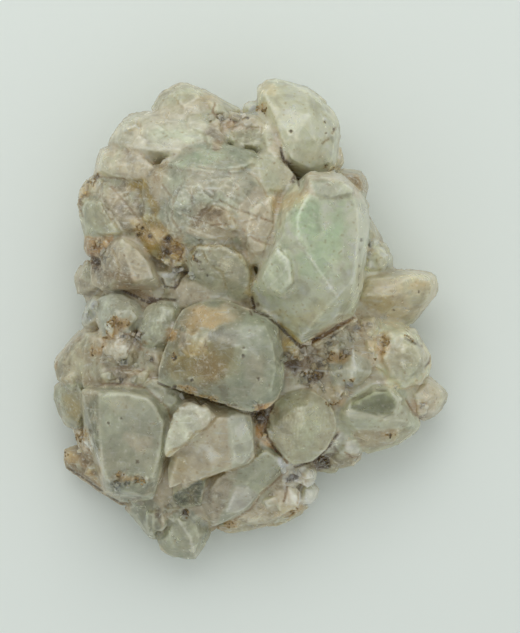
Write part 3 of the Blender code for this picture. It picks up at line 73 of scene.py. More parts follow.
# Grain of the surface: its size and how far it moves the skin. It fades out just over the face it rests on.
SWELL_SIZE = 4.6
SWELL_DEPTH = 0.03
RIPPLE_SIZE = 1.3
RIPPLE_DEPTH = 0.01
ETCH_SIZE = 0.8
ETCH_DEPTH = 0.07
REST_BAND = 0.6

# Small flat breaks on rough ground: their size, how far they tilt, and how their shade differs.
BREAKS = ((3.4, 0.55, 0.12), (1.5, 0.28, 0.16))

# Whole numbers that turn a break's cube into its own chances, the same in every run.
CUBE_KEYS = (73856093, 19349663, 83492791)
KEY_FACTOR = 1103515245
KEY_STEP = 12345
KEY_MOST = 0x7FFFFFFF

# How rough the flanks, the filled clefts and odd patches of the crystals are, from 0 to about 1.
SIDE_ROUGHNESS = 0.45
ROCK_ROUGHNESS = 0.8
PATCH_ROUGHNESS = 0.08
PATCH_SIZE = 6.0

# Sizes of the tints' own clouds, from broad to fine.
CLOUD_SIZE = 5.0
DRIFT_SIZE = 2.6
MOTTLE_SIZE = 1.6
FOG_SIZE = 1.4
FINE_DRIFT_SIZE = 0.8
SPECK_SIZE = 0.55

# How far the tints' borders, the stains and the lines wander, broadly and finely.
BORDER_DRIFT = 0.35
FINE_BORDER_DRIFT = 0.15
STAIN_DRIFT = 1.3
FINE_STAIN_DRIFT = 0.5
LINE_DRIFT = 0.12

# How strongly clouds, painted shade in hollows, painted highlight on ridges, specks, painted light on steep
# faces and painted shade in pits show.
MILK_SHARE = 0.35
FOG_DEPTH = 0.2
HOLLOW_SHADE_SHARE = 0.6
RIDGE_HIGHLIGHT_SHARE = 0.08
SPECK_SHARE = 0.5
STEEP_LIGHT_SHARE = 0.12
PIT_SHADE_SHARE = 0.85

# How widely a hollow for the painted shade is looked for, close by and far, in passes of averaging.
CLOSE_PASSES = 5
WIDE_PASSES = 60

# How much paler a crystal's body is than it looks, as red, green and blue, and how the palest ones level off.
# Stains darker than the first value keep their depth.
BODY_LIFT = (2.36, 2.2, 1.99)
BODY_LEVEL = 0.55
BODY_MOST = 0.93
STAIN_DARK = 0.05
STAIN_PALE = 0.24

# How strongly the bright edges' painted highlights show and how far the edges stand up, and how the white
# streaks of painted glint run, in degrees.
HIGHLIGHT_EDGE_TINTS = ("white", "pale cream")
EDGE_HIGHLIGHT_SHARE = 0.62
EDGE_HEIGHT = 0.5
STREAK_TURN = 52.0

# Veils inside the crystals, whose colour also paints the glints, the darker depths behind them, and their
# healed breaks' size and bend.
VEIL_AND_GLINT = "#dfe0d6"
DEPTHS = "#7d7656"
FRACTURE_SIZE = 3.6
BEND = 2.2

TINTS = {
    "pale cream": "#c3c2ae",
    "cream": "#b7b79d",
    "light mint": "#abb59d",
    "mint": "#90ad8c",
    "grey green": "#989c88",
    "olive grey": "#8f9079",
    "blue grey": "#a0a494",
    "pinkish": "#afa792",
    "pink grey": "#9d9580",
    "tan": "#a49b80",
    "ochre": "#a58c62",
    "rust": "#8f6f38",
    "olive": "#8b783f",
    "brown": "#785a33",
    "deep": "#4e3413",
    "chalk": "#bcbfac",
    "white": "#c9cabf",
    "dark green": "#636850",
}

# Stains of these tints are rust or dirt, which hides the clear crystal behind it; the deep ones in clefts and
# holes are partly painted shade.
DULL_TINTS = ("ochre", "rust", "brown", "deep")

# The rock under and between the crystals.
ROCK_TINT = "pink grey"
ROCK_CLEARNESS = 0.15

# Each crystal: its name, its tint, how clear it is, how bright it is, and its outline from above. Where two
# overlap, the later one lies on top.
CRYSTALS = (
    ("north crown", "cream", 0.25, 0.78, (
        (-20.0, 42.4), (-16.2, 46.1), (-13.0, 47.5), (-7.5, 45.2), (-2.0, 42.2), (-4.0, 38.5),
        (-14.0, 37.5))),
    ("northwest plate", "pale cream", 0.2, 0.75, (
        (-28.5, 35.0), (-25.6, 40.0), (-20.0, 41.8), (-14.0, 40.5), (-9.0, 38.5), (-6.5, 35.5),
        (-9.0, 32.0), (-20.0, 31.0), (-27.5, 33.0))),
    ("north saddle", "olive grey", 0.3, 1.25, (
        (-5.2, 36.8), (-3.6, 38.2), (2.8, 38.0), (4.6, 36.6), (4.2, 34.6), (2.0, 33.2), (-4.8, 34.4))),
    ("saddle ridge", "pink grey", 0.1, 0.75, (
        (-8.6, 41.0), (-2.0, 41.4), (2.2, 41.0), (4.6, 38.8), (2.0, 37.6), (-8.0, 37.6))),
    ("saddle peg", "pinkish", 0.2, 0.55, (
        (-9.6, 37.4), (-7.0, 38.0), (-5.0, 36.6), (-5.2, 33.2), (-9.4, 34.0))),
    ("north bud", "pinkish", 0.5, 1.9, ((-1.8, 42.0), (0.2, 43.8), (1.8, 42.6), (1.5, 40.4), (-1.4, 40.6))),
    ("northwest lobe", "pinkish", 0.3, 1.02, (
        (-30.3, 34.0), (-28.0, 35.4), (-25.0, 34.9), (-21.5, 33.4), (-18.5, 30.0), (-20.5, 27.0),
        (-26.0, 27.6), (-31.4, 29.0))),
    ("lobe edge", "tan", 0.15, 1.18, (
        (-32.4, 28.2), (-30.6, 29.8), (-28.4, 28.4), (-29.0, 25.0), (-34.4, 24.0), (-34.0, 26.2))),
    ("pink bench", "tan", 0.2, 0.55, (
        (-30.6, 28.2), (-22.0, 28.4), (-19.2, 25.6), (-18.0, 21.0), (-21.0, 17.0), (-26.8, 16.8),
        (-30.8, 23.6))),
    ("mass apron", "tan", 0.2, 0.55, (
        (-21.4, 27.4), (-19.0, 30.6), (-15.4, 31.0), (-13.6, 22.0), (-14.6, 16.0), (-21.4, 20.0))),
    ("west fin", "olive grey", 0.35, 1.27, (
        (-34.6, 23.2), (-33.6, 24.8), (-30.4, 24.8), (-25.6, 17.4), (-26.4, 15.6), (-33.2, 16.6),
        (-33.4, 19.8))),
    ("blade shoulder", "brown", 0.1, 1.9, (
        (-33.3, 16.6), (-27.2, 16.8), (-27.0, 13.2), (-29.6, 10.6), (-32.6, 11.4))),
    ("west blade left", "pink grey", 0.2, 0.66, (
        (-31.6, 12.0), (-28.4, 15.0), (-25.6, 16.9), (-24.6, 12.0), (-23.4, 8.0), (-22.4, 6.2),
        (-30.0, 5.9), (-31.9, 7.0))),
    ("west blade right", "pinkish", 0.3, 1.17, (
        (-25.6, 16.9), (-22.0, 15.2), (-20.0, 12.6), (-18.1, 8.0), (-17.9, 5.9), (-22.4, 6.2),
        (-24.6, 12.0))),
    ("west tab", "pink grey", 0.3, 0.81, (
        (-33.2, 12.2), (-35.5, 8.8), (-35.1, 5.1), (-32.3, 4.8), (-30.8, 6.0), (-30.6, 10.4))),
    ("brown ledge", "olive", 0.1, 0.92, (
        (-24.2, 20.0), (-20.0, 20.8), (-15.6, 19.4), (-14.2, 15.0), (-17.0, 11.4), (-20.6, 13.4))),
    ("brown corner", "rust", 0.1, 0.55, (
        (-17.6, 16.6), (-13.6, 17.6), (-10.4, 15.4), (-11.0, 11.0), (-14.6, 9.4), (-18.0, 11.6))),
    ("small plate", "pale cream", 0.4, 0.96, (
        (-18.6, 9.4), (-14.2, 10.0), (-13.6, 8.4), (-15.6, 6.2), (-17.0, 6.4))),
    ("sliver", "pink grey", 0.25, 0.96, (
        (-17.8, 5.2), (-15.4, 6.8), (-12.0, 9.4), (-6.0, 8.2), (0.4, 4.4), (0.4, 2.4), (-5.0, 3.2),
        (-14.6, 2.2))),
    ("broken north", "grey green", 0.3, 0.82, (
        (-18.0, 20.0), (-18.0, 25.0), (-17.0, 30.0), (-13.0, 34.0), (-7.0, 34.4), (0.0, 33.4), (4.6, 30.4),
        (6.0, 25.0), (4.8, 18.0), (0.0, 13.6), (-8.0, 14.0), (-14.6, 15.4))),
    ("green band", "light mint", 0.35, 0.61, (
        (-16.0, 30.6), (-12.0, 34.6), (-6.0, 35.0), (0.6, 33.4), (3.0, 31.0), (-1.0, 28.6), (-8.0, 29.4))),
    ("etched ridge", "blue grey", 0.2, 0.59, (
        (-16.8, 22.6), (-14.6, 27.0), (-10.0, 28.0), (-6.2, 24.0), (-8.6, 21.6), (-13.2, 20.6))),
    ("brown slab", "tan", 0.15, 0.55, (
        (-13.0, 17.0), (-11.2, 20.4), (-8.0, 22.6), (-4.0, 22.0), (-1.6, 18.2), (-4.6, 15.4))),
    ("broken south", "olive grey", 0.35, 1.03, (
        (-12.6, 12.6), (-10.6, 14.6), (-6.0, 15.0), (-1.6, 13.4), (0.4, 10.0), (0.4, 4.6), (-2.6, 3.6),
        (-7.6, 5.6), (-12.2, 8.6))),
    ("pink saddle", "pinkish", 0.25, 0.93, (
        (-2.6, 17.0), (-2.4, 22.0), (1.0, 26.4), (5.6, 25.4), (5.6, 19.0), (4.6, 14.0), (1.8, 10.6),
        (-0.8, 12.4))),
    ("pale plate", "cream", 0.25, 0.78, (
        (-0.5, 31.4), (2.5, 33.0), (6.0, 32.0), (9.0, 28.6), (9.4, 26.0), (6.6, 24.2), (3.6, 24.6),
        (0.5, 27.6))),
    ("northeast amber", "tan", 0.4, 0.58, (
        (16.8, 29.8), (22.0, 30.0), (23.6, 26.5), (22.9, 24.4), (19.0, 23.0), (16.0, 26.0))),
    ("northeast lens", "cream", 0.4, 1.36, (
        (1.1, 46.3), (5.0, 48.4), (11.2, 46.6), (15.9, 42.4), (18.1, 38.0), (16.9, 30.3), (15.0, 29.6),
        (11.5, 29.4), (9.0, 30.4), (6.2, 33.5), (5.7, 37.0), (3.5, 40.4), (1.3, 43.3))),
    ("east wedge", "tan", 0.3, 0.81, (
        (22.0, 23.6), (25.2, 18.8), (26.8, 16.0), (26.0, 14.0), (21.0, 13.0))),
    ("east bud", "cream", 0.3, 1.4, (
        (22.6, 14.2), (24.4, 15.8), (27.1, 15.7), (29.0, 12.6), (28.7, 10.2), (26.0, 8.6), (21.0, 9.0))),
    ("east prism", "tan", 0.35, 1.34, (
        (22.0, 8.6), (28.6, 10.2), (35.0, 10.1), (37.9, 8.4), (37.4, 4.9), (35.6, 3.0), (32.2, -1.2),
        (27.0, -0.6), (21.0, 1.0))),
    ("great green", "light mint", 0.45, 1.39, (
        (10.2, 28.4), (11.2, 29.3), (17.5, 29.2), (22.6, 24.7), (23.7, 19.5), (23.0, 11.0), (22.2, 5.6),
        (20.4, 0.7), (14.0, -3.1), (9.9, -5.2), (3.5, 0.7), (0.3, 1.7), (0.2, 6.0), (2.6, 11.0),
        (4.6, 15.4), (4.9, 20.0), (6.3, 24.2))),
    ("great green shade", "grey green", 0.45, 1.89, (
        (7.0, 14.0), (9.6, 15.0), (13.2, 9.8), (17.4, 3.6), (19.6, 0.6), (14.0, -3.1), (9.9, -5.2),
        (3.5, 0.7), (1.0, 3.0), (5.6, 4.4))),
    ("north end frame", "pinkish", 0.1, 0.58, (
        (10.4, 28.2), (11.3, 29.3), (17.6, 29.2), (21.2, 26.2), (22.6, 23.6), (19.0, 23.6), (16.0, 23.4),
        (10.5, 24.8))),
    ("great green window", "grey green", 0.4, 1.08, (
        (11.8, 27.3), (17.5, 27.3), (19.5, 25.5), (20.0, 24.0), (17.6, 23.4), (13.5, 23.4))),
    ("parallel leaf", "light mint", 0.3, 1.08, (
        (5.1, 15.6), (8.4, 12.5), (8.9, 9.6), (8.7, 6.4), (6.8, 4.0), (2.0, 5.1), (0.8, 7.0), (1.4, 9.4),
        (3.0, 12.0))),
    ("olive facet", "olive", 0.3, 1.34, (
        (5.2, 0.2), (8.2, -2.2), (10.6, -5.0), (10.0, -8.0), (6.6, -8.0), (4.6, -4.0))),
    ("southwest dome", "blue grey", 0.35, 0.97, (
        (-31.0, 2.0), (-30.2, 4.9), (-28.0, 5.6), (-25.5, 5.4), (-22.2, 3.4), (-21.0, 1.6), (-21.6, -1.6),
        (-25.0, -3.4), (-29.6, -3.0))),
    ("west shard", "blue grey", 0.55, 1.85, (
        (-34.3, -0.6), (-33.0, 3.4), (-31.0, 5.0), (-30.6, 1.0), (-33.6, -1.8))),
    ("center west prism", "grey green", 0.35, 0.97, (
        (-20.9, 2.7), (-17.0, 4.4), (-14.3, 3.0), (-13.6, -2.2), (-16.4, -5.6), (-20.8, -6.0),
        (-22.4, -3.6), (-21.4, 0.6))),
    ("west shoulder", "tan", 0.3, 0.7, (
        (-33.6, -1.2), (-39.7, -9.2), (-39.2, -12.2), (-36.0, -14.6), (-29.6, -13.4), (-29.0, -6.0),
        (-30.6, -1.4))),
    ("west lower", "olive grey", 0.35, 0.96, (
        (-39.8, -13.0), (-39.8, -15.8), (-37.2, -21.3), (-35.0, -22.6), (-32.2, -21.4), (-31.4, -16.0),
        (-33.0, -12.6))),
    ("knot", "tan", 0.15, 0.58, (
        (-29.4, -3.6), (-26.4, -2.2), (-23.0, -2.8), (-21.2, -6.0), (-22.0, -9.6), (-29.0, -9.6),
        (-30.2, -6.0))),
    ("knot step", "pink grey", 0.15, 0.8, (
        (-29.8, -9.8), (-22.0, -9.4), (-18.8, -11.6), (-21.4, -13.6), (-28.4, -13.4))),
    ("druse step", "pink grey", 0.15, 0.86, (
        (-21.6, -5.4), (-17.6, -5.4), (-17.2, -9.6), (-18.4, -11.8), (-22.2, -8.6))),
    ("corner stone", "grey green", 0.4, 1.18, (
        (-19.6, -11.8), (-16.6, -12.0), (-12.4, -14.0), (-14.4, -17.4), (-16.0, -19.0), (-21.6, -13.8))),
    ("rust corner", "rust", 0.1, 0.55, ((-36.0, -21.6), (-31.0, -22.2), (-30.0, -27.4), (-34.6, -25.2))),
    ("southwest wedge", "ochre", 0.2, 0.55, (
        (-38.1, -25.8), (-34.6, -25.2), (-32.0, -26.6), (-28.0, -31.0), (-24.4, -34.8), (-24.0, -37.6),
        (-26.0, -37.8), (-37.8, -29.8))),
    ("southwest cube", "grey green", 0.45, 1.01, (
        (-30.2, -13.4), (-25.0, -13.2), (-19.6, -14.1), (-16.2, -18.2), (-15.8, -20.4), (-17.3, -27.6),
        (-18.9, -34.2), (-25.0, -35.3), (-28.6, -34.8), (-30.4, -24.0))),
    ("cube flank", "olive grey", 0.3, 0.63, (
        (-33.8, -14.0), (-30.2, -13.4), (-29.7, -22.0), (-29.4, -28.6), (-31.6, -26.0), (-33.6, -21.6))),
    ("cube sill", "grey green", 0.3, 0.55, (
        (-29.6, -31.8), (-18.4, -31.8), (-19.4, -35.6), (-24.6, -36.8), (-28.8, -35.6))),
    ("southwest shard", "grey green", 0.6, 1.24, (
        (-24.2, -35.6), (-20.0, -35.4), (-17.6, -38.0), (-18.4, -44.4), (-20.4, -44.4), (-25.7, -37.8))),
    ("middle block", "olive grey", 0.45, 0.78, (
        (-14.5, 0.6), (-13.6, 2.3), (-11.0, 3.5), (-7.0, 4.3), (-2.8, 3.3), (-0.8, 1.8), (3.0, 1.4),
        (5.5, -1.2), (6.6, -7.4), (6.9, -10.2), (6.6, -13.0), (4.0, -17.2), (0.4, -18.5), (-4.2, -16.9),
        (-12.0, -14.4), (-18.6, -12.2), (-17.0, -5.6))),
    ("block end", "light mint", 0.45, 0.68, (
        (-0.8, 1.8), (3.0, 1.4), (5.5, -1.2), (6.6, -7.4), (6.9, -10.2), (6.6, -13.0), (4.0, -17.2),
        (0.4, -18.5), (-4.2, -16.9), (-5.0, -11.0), (-3.0, -4.5))),
    ("block window", "pinkish", 0.1, 0.55, (
        (-13.8, -2.2), (-8.4, -2.6), (-8.6, -6.4), (-12.8, -7.4), (-14.2, -5.2))),
    ("south mid block", "pink grey", 0.35, 1.25, (
        (-15.2, -24.6), (-16.8, -29.6), (-16.4, -33.4), (-8.6, -31.1), (-2.2, -29.2), (0.1, -28.4),
        (0.8, -27.0), (0.6, -22.4), (0.1, -17.8), (-4.0, -17.0), (-9.0, -16.4))),
    ("mid spar", "blue grey", 0.4, 1.43, (
        (-4.6, -17.4), (-0.2, -17.4), (0.8, -25.4), (-1.4, -28.8), (-4.0, -29.4))),
    ("white flake", "chalk", 0.05, 0.55, (
        (-12.0, -16.1), (-10.8, -16.5), (-9.8, -17.0), (-8.4, -17.3), (-7.8, -18.4), (-8.0, -19.6),
        (-8.8, -21.0), (-10.6, -21.9), (-12.2, -22.1), (-11.9, -23.2), (-12.6, -24.0), (-13.5, -24.4),
        (-14.5, -25.1), (-15.4, -25.5), (-15.9, -26.9), (-16.8, -27.2), (-17.1, -26.0), (-16.8, -24.0),
        (-16.4, -22.0), (-15.8, -21.1), (-16.1, -20.2), (-15.3, -19.6), (-15.5, -18.5), (-14.2, -18.1),
        (-14.3, -17.0), (-13.2, -17.1))),
    ("green window", "dark green", 0.6, 1.04, (
        (-8.1, -31.0), (-9.2, -34.0), (-9.8, -37.2), (-14.2, -37.3), (-15.9, -35.2), (-12.0, -32.6))),
    ("south slab upper", "pink grey", 0.3, 0.7, (
        (-9.6, -34.0), (-8.2, -31.0), (-2.2, -29.0), (-1.4, -31.0), (-4.6, -36.0), (-7.6, -41.6),
        (-9.8, -37.0))),
    ("south slab", "grey green", 0.45, 1.17, (
        (-2.2, -29.0), (0.4, -27.4), (2.2, -24.8), (5.2, -26.0), (7.5, -27.4), (7.9, -28.7), (4.4, -32.4),
        (1.8, -34.4), (-0.4, -37.8), (-3.6, -39.9), (-7.6, -41.8), (-4.6, -36.0))),
    ("south slab end", "white", 0.2, 1.9, (
        (5.3, -26.9), (7.6, -27.3), (8.0, -28.8), (6.6, -30.2), (5.4, -28.8))),
    ("slab window", "white", 0.35, 0.69, (
        (-3.0, -33.0), (-0.4, -33.0), (1.4, -34.6), (0.0, -36.8), (-2.4, -38.4), (-5.4, -38.4),
        (-4.2, -36.0))),
    ("south cone", "olive grey", 0.35, 1.25, (
        (4.6, -16.6), (7.0, -14.6), (10.0, -13.7), (12.2, -13.8), (15.0, -15.9), (17.4, -20.6),
        (17.2, -22.2), (13.0, -27.8), (8.6, -29.1), (7.2, -28.3), (2.8, -22.6), (3.2, -20.4))),
    ("crevice by the cone", "brown", 0.1, 1.9, (
        (0.6, -16.8), (4.6, -16.2), (3.2, -19.8), (2.6, -22.6), (5.0, -26.0), (2.4, -24.6), (1.0, -23.0))),
    ("south rim", "tan", 0.15, 0.7, (
        (-7.8, -42.1), (-4.0, -43.5), (5.0, -41.9), (10.0, -39.6), (12.1, -37.8), (9.0, -33.6),
        (6.2, -31.0), (1.8, -34.4), (-0.4, -37.8), (-3.6, -39.9))),
    ("rim block", "pinkish", 0.25, 1.03, (
        (1.6, -36.2), (3.0, -34.4), (6.0, -34.2), (6.8, -36.0), (5.2, -38.4), (2.6, -38.0))),
    ("grape", "white", 0.15, 0.85, (
        (6.6, -29.4), (10.2, -28.6), (13.6, -30.4), (13.0, -33.0), (14.0, -35.6), (12.2, -37.3),
        (9.2, -37.0), (7.0, -36.6), (6.2, -31.0))),
    ("south tip", "grey green", 0.45, 1.1, (
        (-17.0, -39.8), (-14.6, -38.0), (-11.8, -38.0), (-7.7, -42.2), (-10.9, -48.4), (-16.0, -47.8),
        (-18.9, -44.8))),
    ("south egg", "white", 0.2, 0.69, (
        (17.2, -22.7), (19.2, -22.0), (22.5, -23.9), (22.9, -26.4), (19.0, -26.8), (15.2, -26.4))),
    ("south egg foot", "tan", 0.15, 0.55, (
        (15.0, -26.4), (19.0, -26.8), (22.9, -26.6), (20.6, -29.6), (16.0, -31.2), (13.0, -30.8))),
    ("southeast wedge", "grey green", 0.4, 1.52, (
        (16.4, -18.6), (20.0, -15.0), (24.0, -12.6), (30.4, -13.6), (34.4, -20.4), (32.1, -23.6),
        (28.6, -25.7), (23.0, -27.1), (16.8, -20.8))),
    ("wedge foot", "tan", 0.25, 0.79, (
        (19.6, -21.8), (31.0, -21.6), (33.4, -22.4), (28.6, -25.7), (23.0, -27.1))),
    ("wedge window", "dark green", 0.6, 1.9, (
        (20.0, -15.5), (24.5, -13.7), (27.5, -13.8), (29.0, -16.0), (28.5, -18.8), (26.5, -19.5),
        (20.0, -17.5))),
    ("east tip", "pinkish", 0.3, 1.03, (
        (35.8, -10.8), (39.9, -14.7), (38.1, -18.8), (34.6, -20.6), (31.8, -18.0), (30.8, -14.4))),
    ("east knob", "tan", 0.3, 1.74, (
        (25.4, -0.2), (29.6, -0.4), (33.0, -1.6), (36.5, -8.2), (35.9, -11.2), (30.6, -14.0),
        (27.0, -12.8), (24.4, -9.0), (24.0, -3.6))),
    ("knob cap", "cream", 0.3, 0.76, (
        (29.4, -3.4), (33.0, -4.0), (35.6, -7.2), (34.6, -10.4), (31.2, -12.4), (27.6, -11.4),
        (27.6, -6.0))),
    ("east rubble", "tan", 0.2, 0.9, (
        (9.6, -4.8), (20.4, 1.2), (25.0, 0.8), (24.2, -4.0), (24.2, -10.6), (20.0, -14.6), (15.6, -15.6),
        (10.2, -13.4), (7.4, -12.0), (8.0, -7.0))),
    ("small pyramid", "blue grey", 0.4, 1.35, (
        (15.0, -8.6), (20.2, -6.4), (23.4, -8.0), (24.0, -10.4), (20.6, -13.0), (16.2, -12.6))),
)
